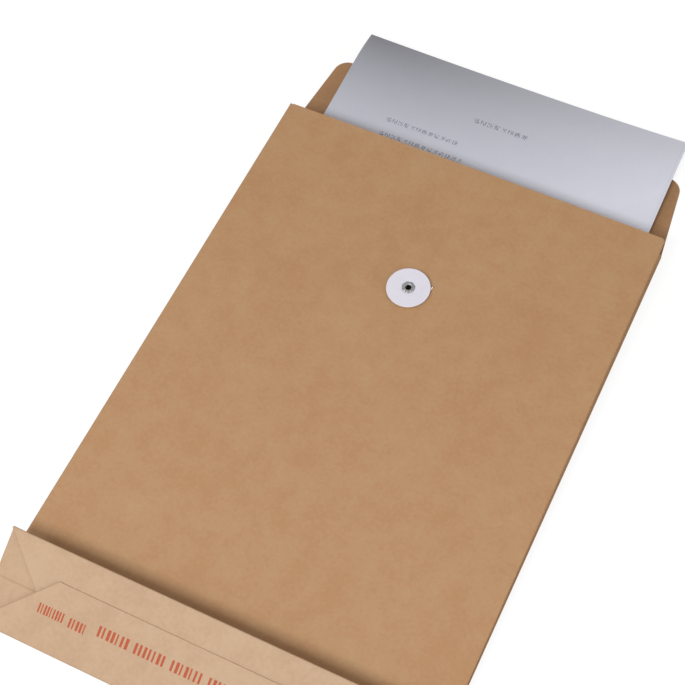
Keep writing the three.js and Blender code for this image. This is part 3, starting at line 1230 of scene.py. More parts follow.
@dataclass(frozen=True)
class BackPanel:
    """The back panel on the table, and the glued lap inside it.

    Attributes:
        middle: Height of the panel's middle.
        end: From the bottom crease to the panel's end at the mouth.
        lap_middle: Height of the lap's middle.
        lap_inset: From the envelope's side to the lap.
        lap_width: Width of the lap.
        lap_start: Where the lap starts, from the bottom crease.
        lap_corner: Radius of the lap's corner at the mouth.
    """

    middle: float = SIZE.paper / 2 + 0.01
    end: float = SIZE.length - 0.8
    lap_middle: float = 0.62
    lap_inset: float = 4.0
    lap_width: float = 12.0
    lap_start: float = 25.0
    lap_corner: float = 1.5

    def build(self) -> None:
        """Makes the panel and the lap."""
        edge = SIZE.half - SIZE.side_inset
        flat = Profile(np.array([[0.0, self.middle], [self.end, self.middle]]))
        ply = Ply("back_sheet", box_outline(-edge, edge, 0.0, self.end), over(flat), spacing=10.0)
        dress(ply.build(), Finish.KRAFT_INSIDE_SHADED, "back_panel", body="back")
        level = Profile(np.array([[0.0, self.lap_middle], [SIZE.length, self.lap_middle]]))
        left = self.lap_inset - SIZE.half
        corners = box_outline(left, left + self.lap_width, self.lap_start, self.end)
        outline = rounded(corners, [0, 0, self.lap_corner, 0])
        ply = Ply("side_seam", outline, over(level), spacing=8.0, pattern=SEAM_CUT)
        dress(ply.build(), Finish.KRAFT_OUTSIDE, "side_seam_lap", body="back")


@dataclass(frozen=True)
class Gusset:
    """One gusset: a sheet folded inwards between the back and the front, and its corner web.

    Attributes:
        side: -1 for the left one, 1 for the right one.
        lip: Radius of its folds.
        start: Where its sheet starts, from the bottom crease.
        fold_points: Points of its section round each fold.
        leaf_points: Points of its section along each leaf, between its folds.
        corner_rows: Lines of points across the stretch before the front's crease.
        web_gap: From the web's top edge to the front's crease.
        web_lift: From the lower leaf to the web.
        web_drop: From the bottom's underside to the web's top corner.
        web_bow: How far the web bows out.
    """

    side: int
    lip: float = 0.27
    start: float = 2.0
    fold_points: int = 7
    leaf_points: int = 9
    corner_rows: int = 8
    web_gap: float = 0.6
    web_lift: float = 0.3
    web_drop: float = 0.1
    web_bow: float = 0.9

    @property
    def name(self) -> str:
        """Which side it is on."""
        return "left" if self.side < 0 else "right"

    @property
    def lower_end(self) -> int:
        """Number of the section's point at the lower leaf's end."""
        return self.fold_points + self.leaf_points - 1

    @property
    def inner_fold(self) -> int:
        """Number of the section's point in the middle of the inner fold."""
        return self.fold_points + self.leaf_points + self.fold_points // 2

    def _section(self, y: Array) -> tuple[Array, Array]:
        """The gusset's section at each y, from the back to the front.

        A leaf is two stretches of fixed length that meet at a knee. Their rises are shares of
        the front's height, so their reaches follow by Pythagoras. A quadratic curve softens the
        knee, and half circles join the leaves to each other, the back and the front.

        Args:
            y: Distances from the bottom crease.

        Returns:
            X and Z of the section, with a row for each of its points and a column for each y.
        """
        start = Creases.front[0]
        along, share = np.maximum(y, start), np.minimum(1.0, y / start)
        rise = (Creases.front_under(along) - SIZE.ply) / 2
        outer, inner = SIZE.bulge_depth * SIZE.gusset, (1 - SIZE.bulge_depth) * SIZE.gusset
        knee = np.sqrt(outer**2 - (SIZE.bulge_rise * rise) ** 2)
        rest = np.sqrt(inner**2 - ((1 - SIZE.bulge_rise) * rise) ** 2)
        knee_x = SIZE.half - knee * share
        edge = np.full_like(y, SIZE.half - SIZE.side_inset)
        tip = SIZE.half - (knee + rest) * share + self.lip
        fold = SIZE.ply + rise * share
        low_root = np.full_like(y, BackPanel.middle + 2 * self.lip)
        high_root = Creases.front_under(along) + SIZE.ply / 2 - 2 * self.lip
        turns = np.radians(np.linspace(-90.0, 90.0, self.fold_points))[:, None]
        steps = np.linspace(0.0, 1.0, self.leaf_points + 2)[1:-1, None]

        def turned(x: Array, z: Array, way: int) -> tuple[Array, Array]:
            """Half a circle round a point, which bulges out for a way of 1 and in for -1."""
            return x + way * self.lip * np.cos(turns), z + self.lip * np.sin(turns)

        def leaf(x0: Array, z0: Array, x1: Array, z1: Array, up: float) -> tuple[Array, Array]:
            """A curve between two points that leans towards the knee, halfway to touching it."""
            pull_x, pull_z = 1.5 * knee_x - (x0 + x1) / 4, 1.5 * (z0 + up * (z1 - z0)) - (z0 + z1) / 4
            return quadratic(x0, pull_x, x1, steps), quadratic(z0, pull_z, z1, steps)

        parts = [
            turned(edge, low_root - self.lip, 1),
            leaf(edge, low_root, tip, np.maximum(fold - self.lip, low_root), SIZE.bulge_rise),
            turned(tip, np.maximum(fold, low_root + self.lip), -1),
            leaf(tip, fold + self.lip, edge, high_root, 1 - SIZE.bulge_rise),
            turned(edge, high_root + self.lip, 1),
        ]
        xs, zs = (np.concatenate(rows) for rows in zip(*parts))
        return xs, zs

    def _distances(self) -> Array:
        """Flat distance of each point of the section from its first one, at the mouth."""
        xs, zs = self._section(np.array([SIZE.length]))
        return np.concatenate([[0.0], np.cumsum(np.hypot(np.diff(xs[:, 0]), np.diff(zs[:, 0])))])

    def build(self) -> None:
        """Makes the folded sheet and the web."""
        marks = self._distances()
        fold, whole = float(marks[self.inner_fold]), float(marks[-1])

        def bend(flat: Array) -> Array:
            """Takes flat points to their place, by the two marks that each lies between.

            Args:
                flat: Flat points.

            Returns:
                Their places.
            """
            u = np.clip(flat[:, 0] * self.side, 0.0, whole)
            xs, zs = self._section(flat[:, 1])
            k = np.clip(np.searchsorted(marks, u, side="right") - 1, 0, len(marks) - 2)
            share = (u - marks[k]) / (marks[k + 1] - marks[k])
            each = np.arange(len(u))
            x = xs[k, each] * (1 - share) + xs[k + 1, each] * share
            z = zs[k, each] * (1 - share) + zs[k + 1, each] * share
            return np.stack([self.side * x, flat[:, 1], z], axis=1)

        start, top, corner = self.start, SIZE.length - SIZE.mouth_inset, Creases.front[0]
        outline = np.array([
            (0.0, start), (fold, start), (fold, corner), (whole, corner), (whole, top), (0.0, top),
        ])
        ply = Ply(
            f"gusset_{self.name}", mirrored(outline, self.side), bend, spacing=8.0,
            columns=self.side * marks[1:-1], rows=np.linspace(start, corner, self.corner_rows),
            pattern=GUSSET_CUTS[self.side],
        )
        made = dress(
            ply.build(), Finish.KRAFT_OUTSIDE, f"gusset_{self.name}_lower",
            f"gusset_{self.name}_upper", body="back",
        )
        self._squash(made)
        self._squash(self._web())

    def _web(self) -> bpy.types.Object:
        """The triangle between the raised bottom's edge and the lower leaf.

        It lies in the plane of its three corners and bows out by half a sine wave across it.

        Returns:
            The web.
        """
        top = Creases.front[0] - self.web_gap
        xs, zs = self._section(np.array([self.start, top]))
        edge = SIZE.half - SIZE.side_inset
        rise = math.tan(math.radians(SIZE.base_angle))
        low = np.array([edge, self.start, zs[self.lower_end, 0] + self.web_lift])
        high = np.array([edge, top, SIZE.ply + top * rise - self.web_drop])
        deep = np.array([xs[self.inner_fold - 2, 1], top, zs[self.inner_fold, 1] + self.web_lift])
        long = float(np.linalg.norm(high - low))
        run = (high - low) / long
        down = float((deep - low) @ run)
        wide = float(np.linalg.norm(deep - low - down * run))
        across = (deep - low - down * run) / wide
        face = np.cross(run, across)

        def bend(flat: Array) -> Array:
            """Takes flat points, along the web's outer edge and across from it, to their place.

            Args:
                flat: Flat points.

            Returns:
                Their places.
            """
            a, b = flat[:, 0], flat[:, 1]
            bow = self.web_bow * np.sin(np.pi * np.clip(b / wide, 0, 1)) * np.clip(a / long, 0, 1)
            place = low + a[:, None] * run + b[:, None] * across
            place = place - bow[:, None] * face * np.sign(face[0])
            return place * [self.side, 1.0, 1.0]

        outline = np.array([(0.0, 0.0), (long, 0.0), (down, wide)])
        ply = Ply(f"gusset_web_{self.name}", outline, bend, spacing=2.5, pattern=WEB_CUT)
        return dress(ply.build(), Finish.KRAFT_OUTSIDE, f"gusset_{self.name}_corner", body="back")

    @staticmethod
    def _squash(made: bpy.types.Object) -> None:
        """Gives the piece a mesh of its own."""
        anchor = Row.metres(np.array([0.0, SIZE.length / 2, SIZE.ply]))
        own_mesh(made)


def mirrored(outline: Array, side: int) -> Array:
    """An outline for one side: as it is for 1, mirrored and still anticlockwise for -1."""
    return outline if side > 0 else (outline * [-1.0, 1.0])[::-1]


@dataclass(frozen=True)
class BlockBottom:
    """The folded bottom: its outer and inner flaps and the tucks under them.

    Heights are over the bottom crease, square to the bottom's face.

    Attributes:
        along: Unit vector up the bottom, in Y and Z.
        out: Unit vector out of its face.
        outer_height: Height of the outer flap's middle.
        outer_start: Where the outer flap's fold ends, up the bottom.
        outer_handle: Length of that fold's handles.
        inner_height: Height of the inner flap's middle.
        inner_start: Where the inner flap's fold ends, down from the top crease.
        inner_handle: Length of that fold's handles.
        corner: Radius of the flaps' corners.
        slant_lift: How far the flaps stand up at their slanted edges.
        slant_reach: How far in from those edges they do.
        tuck_inset: From the envelope's side to the tucks' folds.
        tuck_reach: From the envelope's side to the tucks' ends.
        tuck_lip: Radius of the tucks' folds.
        tuck_lip_height: Height of the middle of those folds.
        tuck_height: Height of the tucks' ends.
        tuck_margin: From the bottom's creases to the tucks' edges.
        tuck_corner: How much is cut off the tucks' corners.
        tuck_steps: Number of pieces round the tucks' folds.
    """

    along: ClassVar[Array] = direction(SIZE.base_angle)
    out: ClassVar[Array] = normal(SIZE.base_angle)
    outer_height: float = 1.68
    outer_start: float = 0.6
    outer_handle: float = 1.35
    inner_height: float = 1.08
    inner_start: float = 0.3
    inner_handle: float = 1.1
    corner: float = 0.8
    slant_lift: float = 0.3
    slant_reach: float = 3.0
    tuck_inset: float = 0.45
    tuck_reach: float = 33.3
    tuck_lip: float = 0.26
    tuck_lip_height: float = 0.24
    tuck_height: float = 0.5
    tuck_margin: float = 1.2
    tuck_corner: float = 8.0
    tuck_steps: int = 8

    def place(self, y: float, z: float) -> Array:
        """A point in Y and Z from the bottom's own coordinates, up it and out of it."""
        return Creases.bottom + y * self.along + z * self.out

    def _flap(self, name: str, points: Array, fold: float, **cut: object) -> bpy.types.Object:
        """A trapezoid ply with 45 degree ends that starts with a rounded fold.

        It stands up at its slanted edges by a bell curve of the distance from them.

        Args:
            name: The ply's name.
            points: Its profile, in Y and Z.
            fold: Length of its fold.
            **cut: How it lies on the paper it is cut from.

        Returns:
            The ply.
        """
        profile = Profile(points)
        crease = points[FOLD_STEPS]
        edge, reach = SIZE.half, profile.length
        far_edge = edge - (reach - fold)

        def lift(x: Array, y: Array) -> Array:
            """How far the ply stands up at x and y."""
            slant = (edge - np.abs(y - crease[0]) / self.along[0] - np.abs(x)) / math.sqrt(2.0)
            return self.slant_lift * np.exp(-np.clip(slant / self.slant_reach, 0.0, 6.0) ** 2)

        outline = rounded(
            [(-edge, 0), (edge, 0), (edge, fold), (far_edge, reach), (-far_edge, reach), (-edge, fold)],
            [0, 0, 0, self.corner, self.corner, 0],
        )
        ply = Ply(name, outline, over(profile, lift), spacing=4.0, rows=fold_rows(fold), **cut)
        return ply.build()

    def _outer(self) -> None:
        """Makes the outer flap, which comes up from the bottom crease and carries the print."""
        back = np.array([0.0, BackPanel.middle])
        landing = self.place(self.outer_start, self.outer_height)
        lip = bezier(back, np.array([-1.0, 0.0]), self.along, landing, self.outer_handle)
        fold = Profile(lip).length
        points = np.concatenate([lip, [self.place(SIZE.base_flap, self.outer_height)]])
        made = self._flap("bottom_flap_outer", points, fold, pattern=(0.0, fold), way=-1)
        dress(made, Finish.PRINTED_BOTTOM_SHEEN, "bottom_outer_flap", body="bottom")

    def _inner(self) -> None:
        """Makes the inner flap, which comes down from the top crease."""
        foot = direction(Creases.foot_turn)
        landing = self.place(SIZE.base_depth - self.inner_start, self.inner_height)
        lip = bezier(Creases.foot_start, -foot, -self.along, landing, self.inner_handle)
        stop = self.place(SIZE.base_depth - SIZE.base_flap, self.inner_height)
        points = np.concatenate([lip, [stop]])
        made = self._flap("bottom_flap_inner", points, Profile(lip).length, pattern=INNER_CUT)
        dress(made, Finish.KRAFT_BOTTOM_SHEEN, "bottom_inner_flap", body="bottom")

    def _tuck(self, side: int, name: str) -> None:
        """Makes one tuck: a ply folded in from one end, seen between the two flaps.

        Args:
            side: -1 for the left one, 1 for the right one.
            name: Which side it is on.
        """
        turn = np.radians(np.linspace(-90, 90, self.tuck_steps + 1))
        across = SIZE.half - self.tuck_inset + self.tuck_lip * np.cos(turn)
        height = self.tuck_lip_height + self.tuck_lip * np.sin(turn)
        end = (SIZE.half - self.tuck_reach, self.tuck_height)
        curve = Profile(np.concatenate([np.stack([across, height], axis=1), [end]]))
        fold, reach = float(curve.lengths[self.tuck_steps]), curve.length

        def bend(flat: Array) -> Array:
            """Takes flat points, in from the fold and up the bottom, to their place.

            Args:
                flat: Flat points.

            Returns:
                Their places.
            """
            x, z = curve.at(flat[:, 0] * side)
            y = flat[:, 1]
            place = Creases.bottom + y[:, None] * self.along + z[:, None] * self.out
            return np.stack([side * x, place[:, 0], place[:, 1]], axis=1)

        low, high, cut = self.tuck_margin, SIZE.base_depth - self.tuck_margin, self.tuck_corner
        outline = np.array([
            (0.0, low), (reach - cut, low), (reach, low + cut), (reach, high - cut),
            (reach - cut, high), (0.0, high),
        ])
        ply = Ply(
            f"bottom_tuck_{name}", mirrored(outline, side), bend, spacing=4.0,
            columns=side * fold_rows(fold, self.tuck_steps), pattern=TUCK_CUT,
        )
        dress(ply.build(), Finish.KRAFT_BOTTOM_SHEEN, f"bottom_{name}_tuck", body="bottom")

    def build(self) -> None:
        """Makes the four plies."""
        self._outer()
        self._inner()
        for side, name in ((-1, "left"), (1, "right")):
            self._tuck(side, name)


@dataclass(frozen=True)
class Front:
    """The front panel with its foot, backing patch, button, eyelet and string.

    Attributes:
        slope: Unit vector up the panel, in Y and Z.
        out: Unit vector out of its face.
        bow_height: How far the panel bows up in the middle of the mouth.
        bow_start: Where that bow starts, from the bottom crease.
        bow_run: How long it takes to rise.
        wave_height: Height of the panel's slight waves.
        wave_across: How fast the waves follow one another across, per radian.
        wave_along: How fast they do along.
        wave_start: Where in a wave both begin, in radians.
        calm_middle: Middle of the flat area round the button, from the bottom crease.
        calm_radius: Radius of that area.
        lip_end: Where the fold at the panel's foot ends.
        lip_handle: Length of that fold's handles.
        corner: Radius of the panel's corners at the mouth.
        patch_radius: Radius of the backing patch.
        patch_thickness: Thickness of the backing patch.
        patch_gap: Room between the panel and the patch.
        backing: Depth behind the panel that the eyelet has to grip.
    """

    slope: ClassVar[Array] = direction(SIZE.front_slope)
    out: ClassVar[Array] = normal(SIZE.front_slope)
    bow_height: float = 0.5
    bow_start: float = 240.0
    bow_run: float = 110.0
    wave_height: float = 0.1
    wave_across: float = 31.0
    wave_along: float = 47.0
    wave_start: tuple[float, float] = (0.7, 0.4)
    calm_middle: float = 262.0
    calm_radius: float = 25.0
    lip_end: float = 0.5
    lip_handle: float = 0.35
    corner: float = 2.2
    patch_radius: float = 11.0
    patch_thickness: float = 0.4
    patch_gap: float = 0.25
    backing: float = 0.7

    def bow(self, x: Array, y: Array) -> Array:
        """How far the panel's surface stands off a plane: a bow at the mouth, and waves.

        Args:
            x: Distance from the middle line.
            y: Distance from the bottom crease.

        Returns:
            The height over the plane.
        """
        along = np.clip((y - self.bow_start) / self.bow_run, 0.0, 1.0)
        across = 1.0 - (x / SIZE.half) ** 2
        across_start, along_start = self.wave_start
        wave = np.sin(x / self.wave_across + across_start) * np.sin(y / self.wave_along + along_start)
        clear = np.clip(np.hypot(x, y - self.calm_middle) / self.calm_radius - 1.0, 0.0, 1.0)
        return self.bow_height * across * along**2 * clear + self.wave_height * wave * clear

    def _foot(self) -> None:
        """Makes the strip folded back down behind the raised bottom."""
        flat = Profile(np.array([Creases.foot_start, Creases.foot_end]))
        outline = box_outline(-SIZE.half, SIZE.half, 0.0, flat.length)
        ply = Ply("foot_strip", outline, over(flat), spacing=6.0, pattern=FOOT_CUT)
        dress(ply.build(), Finish.KRAFT_OUTSIDE, "front_foot", body="foot")

    def _panel(self) -> None:
        """Makes the panel, from its fold at the foot to its edge at the mouth."""
        foot = direction(Creases.foot_turn)
        level = Creases.front - SIZE.ply / 2 * self.out
        landing = level + self.lip_end * self.slope
        lip = bezier(Creases.foot_end, foot, self.slope, landing, self.lip_handle)
        profile = Profile(np.concatenate([lip, [level + Creases.front_length * self.slope]]))
        fold = Profile(lip).length
        edge = SIZE.half - SIZE.side_inset
        outline = rounded(
            box_outline(-edge, edge, 0.0, profile.length), [0, 0, self.corner, self.corner]
        )
        button = fold - self.lip_end + Creases.button
        hole = circle((0.0, button), SIZE.button_bore, HOLE_STEPS)
        ply = Ply(
            "front_sheet", outline, over(profile, self.bow), spacing=4.0, rows=fold_rows(fold),
            holes=[hole], pattern=FRONT_CUT,
        )
        dress(ply.build(), Finish.KRAFT_OUTSIDE, "front_panel", body="front")

    def _patch(self, seat: Seat) -> None:
        """Makes the round patch behind the button.

        Args:
            seat: The button's seat.
        """
        behind = -SIZE.ply - self.patch_thickness / 2 - self.patch_gap
        patch = Ply(
            "backing_patch", circle((0.0, 0.0), self.patch_radius, 60), seat.plane(behind),
            thickness=self.patch_thickness, spacing=2.0,
            holes=[circle((0.0, 0.0), SIZE.button_bore, HOLE_STEPS)], pattern=PATCH_CUT,
        )
        dress(patch.build(), Finish.KRAFT_INSIDE_SHADED, "front_backing_patch", body="front")

    def build(self) -> None:
        """Makes every piece of the front."""
        self._foot()
        self._panel()
        seat = Seat(Creases.front + Creases.button * self.slope, SIZE.front_slope, 1)
        self._patch(seat)
        Button("front", seat, self.backing).build("front", "front_button_body")
        String(seat).build()


@dataclass(frozen=True)
class Seat:
    """Where a button sits on a panel.

    Attributes:
        centre: The button's middle on the panel's face, in Y and Z.
        slope: The panel's slope.
        side: 1 on the panel's upper side, -1 on its underside.
    """

    centre: Array
    slope: float
    side: int

    def points(self, local: Array) -> Array:
        """Moves points from the button's own frame, whose Z points outwards.

        Args:
            local: The points, with their coordinates on the last axis.

        Returns:
            The points in the envelope's frame.
        """
        along = direction(self.slope)
        out = normal(self.slope) * self.side
        place = self.centre + local[..., 1, None] * along * self.side + local[..., 2, None] * out
        return np.concatenate([local[..., :1], place], axis=-1)

    def ring(self, r: Array, z: Array, turn: Array) -> Array:
        """Points of the envelope's frame at a radius, a height and an angle round the button."""
        return self.points(np.stack([r * np.cos(turn), r * np.sin(turn), z], axis=-1))

    def plane(self, height: float) -> Bend:
        """Keeps paper flat at a height above the face.

        Args:
            height: The height of its middle.

        Returns:
            The bend.
        """

        def bend(flat: Array) -> Array:
            """Takes flat points to their place."""
            return self.points(np.column_stack([flat, np.full(len(flat), height)]))

        return bend


@dataclass(frozen=True)
class Button:
    """A card disc that turns on a crimped metal eyelet.

    Attributes:
        name: Which of the two it is.
        seat: Where it sits.
        backing: What the eyelet grips behind the panel's own ply.
        petals: Number of petals that the eyelet's rim is split into.
        soft: Radius of the disc's rounded edges.
        pinch: How far in the eyelet's rim is drawn between its petals.
        dent: How far down it is drawn there.
        disc_steps: Points round the disc.
        eyelet_steps: Points round the eyelet.
    """

    name: str
    seat: Seat
    backing: float
    petals: int = 7
    soft: float = 0.17
    pinch: float = 0.16
    dent: float = 0.14
    disc_steps: int = 120
    eyelet_steps: int = 140

    def _disc(self) -> bpy.types.Object:
        """Makes the disc, with rounded edges and the mark pressed round its eyelet.

        Returns:
            The disc.
        """
        low = SIZE.button_stand_off
        high = low + SIZE.button_thickness
        edge, bore, soft = SIZE.button_radius, SIZE.button_bore, self.soft
        turn = np.radians(np.linspace(0.0, 90.0, 5))
        over_edge = [(edge - soft + soft * math.sin(a), high - soft + soft * math.cos(a)) for a in turn]
        under_edge = [(edge - soft + soft * math.cos(a), low + soft - soft * math.sin(a)) for a in turn]
        pressed = [(bore, high - 0.1), (3.9, high - 0.1), (4.4, high - 0.03), (5.0, high)]
        flat = [(r, high) for r in np.linspace(6.0, edge - 1.4, 5)]
        rim = [(edge - 0.9, high + 0.03), (edge - 0.5, high + 0.02)]
        under = [(r, low) for r in np.linspace(edge - 1.0, bore, 6)]
        wall = [(bore, low + 0.2)]
        profile = np.array([*pressed, *flat, *rim, *over_edge, *under_edge, *under, *wall])

        def surface(k: Array, turn: Array) -> Array:
            """The disc's surface: its profile turned round its middle."""
            return self.seat.ring(profile[k, 0], profile[k, 1], turn)

        made = lathe(f"{self.name}_disc", surface, len(profile), self.disc_steps)
        give_flat(made)
        return made

    def _eyelet(self) -> bpy.types.Object:
        """Makes the eyelet: a barrel, a flange behind, and petals rolled over in front.

        Returns:
            The eyelet.
        """
        top = SIZE.button_stand_off + SIZE.button_thickness + 0.02
        back = -SIZE.ply - self.backing - 0.08
        flange = [
            (1.55, back - 0.3), (2.6, back - 0.34), (3.9, back - 0.3), (4.25, back - 0.15),
            (4.2, back), (3.4, back + 0.02), (2.45, back + 0.02), (2.35, back + 0.3),
        ]
        under_rim = [(2.35, top - 0.1), (2.6, top), (3.0, top + 0.02)]
        rim = [
            (3.5, top + 0.02), (3.72, top + 0.12), (3.66, top + 0.3), (3.3, top + 0.46),
            (2.8, top + 0.52), (2.3, top + 0.5),
        ]
        split = [0.3, 0.8, 1.0, 1.0, 0.8, 0.45]
        bore = [(1.9, top + 0.36), (1.65, top + 0.1), (1.55, top - 0.4), (1.5, (top + back) / 2)]
        profile = np.array([*flange, *under_rim, *rim, *bore])
        deep = np.array([*[0.0] * len(flange + under_rim), *split, *[0.0] * len(bore)])

        def surface(k: Array, turn: Array) -> Array:
            """The eyelet's surface: its profile, drawn in and down at the cuts between petals.

            Args:
                k: Points of the profile.
                turn: Turns round the middle.

            Returns:
                The places.
            """
            cut = np.abs(np.cos(self.petals * turn / 2)) ** 6 * deep[k]
            r, z = profile[k, 0], profile[k, 1]
            return self.seat.ring(
                r - self.pinch * cut * (r > 3.1), z - self.dent * cut * (z > top + 0.05), turn
            )

        return lathe(f"{self.name}_rivet", surface, len(profile), self.eyelet_steps)

    def build(self, panel: str, disc: str) -> None:
        """Makes the disc and its eyelet.

        Args:
            panel: The body that the eyelet rides on.
            disc: The body that the disc rides on.
        """
        dress(self._disc(), Finish.BUTTON_CARD, f"{self.name}_button", body=disc)
        dress(self._eyelet(), Finish.EYELET_METAL, f"{self.name}_eyelet", body=panel)


def give_flat(made: bpy.types.Object) -> None:
    """Gives a turned piece flat coordinates across its face, from its X and Y in the row frame.

    Args:
        made: The piece.
    """
    mesh = made.data
    points = np.zeros(len(mesh.vertices) * 3)
    mesh.vertices.foreach_get("co", points)
    index = np.zeros(len(mesh.loops), np.int32)
    mesh.loops.foreach_get("vertex_index", index)
    uv = points.reshape(-1, 3)[:, :2] + [0.7, 0.3]
    layer = mesh.uv_layers.new(name="flat")
    layer.data.foreach_set("uv", uv[index].astype(np.float32).ravel())


@dataclass(frozen=True)
class String:
    """The string wound flat under the front button, with its end showing past the rim.

    Attributes:
        seat: The button's seat.
        turns: Number of turns round the eyelet.
        start: Radius of the eyelet's barrel.
        gap: From the barrel to the first turn.
        between: Room between two turns.
        past: How far the string's end stands out past the disc.
        end: Direction in which it leaves, in radians.
        tail: Share of the string's winding over which it leaves the spiral.
        rise: How far its end stands up.
        sides: Points round the string.
        core: Radius at the bottom of the grooves between its strands, as a share of its own.
        strands: How deep those grooves are, as a share too.
        lay: Length in which a strand goes once round.
    """

    seat: Seat
    turns: int = 6
    start: float = 2.4
    gap: float = 0.3
    between: float = 0.48
    past: float = 1.2
    end: float = math.radians(26.0)
    tail: float = 35.0 / 360.0 / turns
    rise: float = 0.5
    sides: int = 16
    core: float = 0.86
    strands: float = 0.16
    lay: float = 3.2

    def centre(self, share: Array) -> Array:
        """The string's middle line: a spiral, whose last part leaves it by a cubic curve.

        Args:
            share: How much of the winding is done, from 0 to 1.

        Returns:
            The points, in the button's own frame.
        """
        first = self.start + self.gap + SIZE.string / 2
        wound = (SIZE.string + self.between) * self.turns
        out = SIZE.button_radius + self.past - first - wound
        leaving = np.clip(1 - (1 - share) / self.tail, 0.0, None)
        spread = first + wound * share + out * leaving**3
        turn = self.end - (1 - share) * self.turns * 2 * math.pi
        height = SIZE.button_stand_off / 2 + self.rise * np.clip(leaving, 0, 1) ** 6
        return np.stack([spread * np.cos(turn), spread * np.sin(turn), height], axis=-1)

    def _tube(self, middle: Array, length: Array) -> tuple[Array, Array]:
        """A twisted tube round a line, with closed ends.

        Its radius is that of three strands: it follows the cosine of an angle that turns with
        the length.

        Args:
            middle: The line's points.
            length: How far along the line each of them lies.

        Returns:
            The tube's points, and its triangles as rows of point numbers.
        """
        run = np.gradient(middle, axis=0)
        out = np.stack([run[:, 1], -run[:, 0], np.zeros(len(run))], axis=1)
        out /= np.linalg.norm(out, axis=1, keepdims=True)
        up = np.array([0.0, 0.0, 1.0])
        turn = np.arange(self.sides) * 2 * math.pi / self.sides
        twist = turn[None, :] * 3 / 2 - length[:, None] * 2 * math.pi / self.lay
        radius = SIZE.string / 2 * (self.core + self.strands * np.abs(np.cos(twist)))
        radius[[0, -1]] *= 0.5
        ring = out[:, None] * np.cos(turn)[None, :, None] + up * np.sin(turn)[None, :, None]
        points = (middle[:, None] + ring * radius[..., None]).reshape(-1, 3)
        index = np.arange(len(middle) * self.sides).reshape(len(middle), self.sides)
        next_on = np.roll(index, -1, axis=1)
        a, b, c, d = index[:-1], next_on[:-1], next_on[1:], index[1:]
        faces = [np.stack([a, b, c, a, c, d], axis=-1).reshape(-1, 3)]
        for loop, way in ((index[0], -1), (index[-1], 1)):
            fan = np.stack([np.full(self.sides - 2, loop[0]), loop[1:-1], loop[2:]], axis=1)
            faces.append(fan[:, ::way])
        return points, np.concatenate(faces)

    def build(self) -> None:
        leave = 1 - self.tail
        share = np.concatenate([
            np.linspace(0.0, leave, 1200, endpoint=False), np.linspace(leave, 1.0, 60)
        ])
        middle = self.centre(share)
        steps = np.linalg.norm(np.diff(middle, axis=0), axis=1)
        length = np.concatenate([[0.0], np.cumsum(steps)])
        points, faces = self._tube(middle, length)
        made = make_mesh("wound_string", Row.metres(self.seat.points(points)), faces)
        dress(made, Finish.COTTON_STRING, "closure_string", body="front")
        path = Row.metres(self.seat.points(middle[::4]))


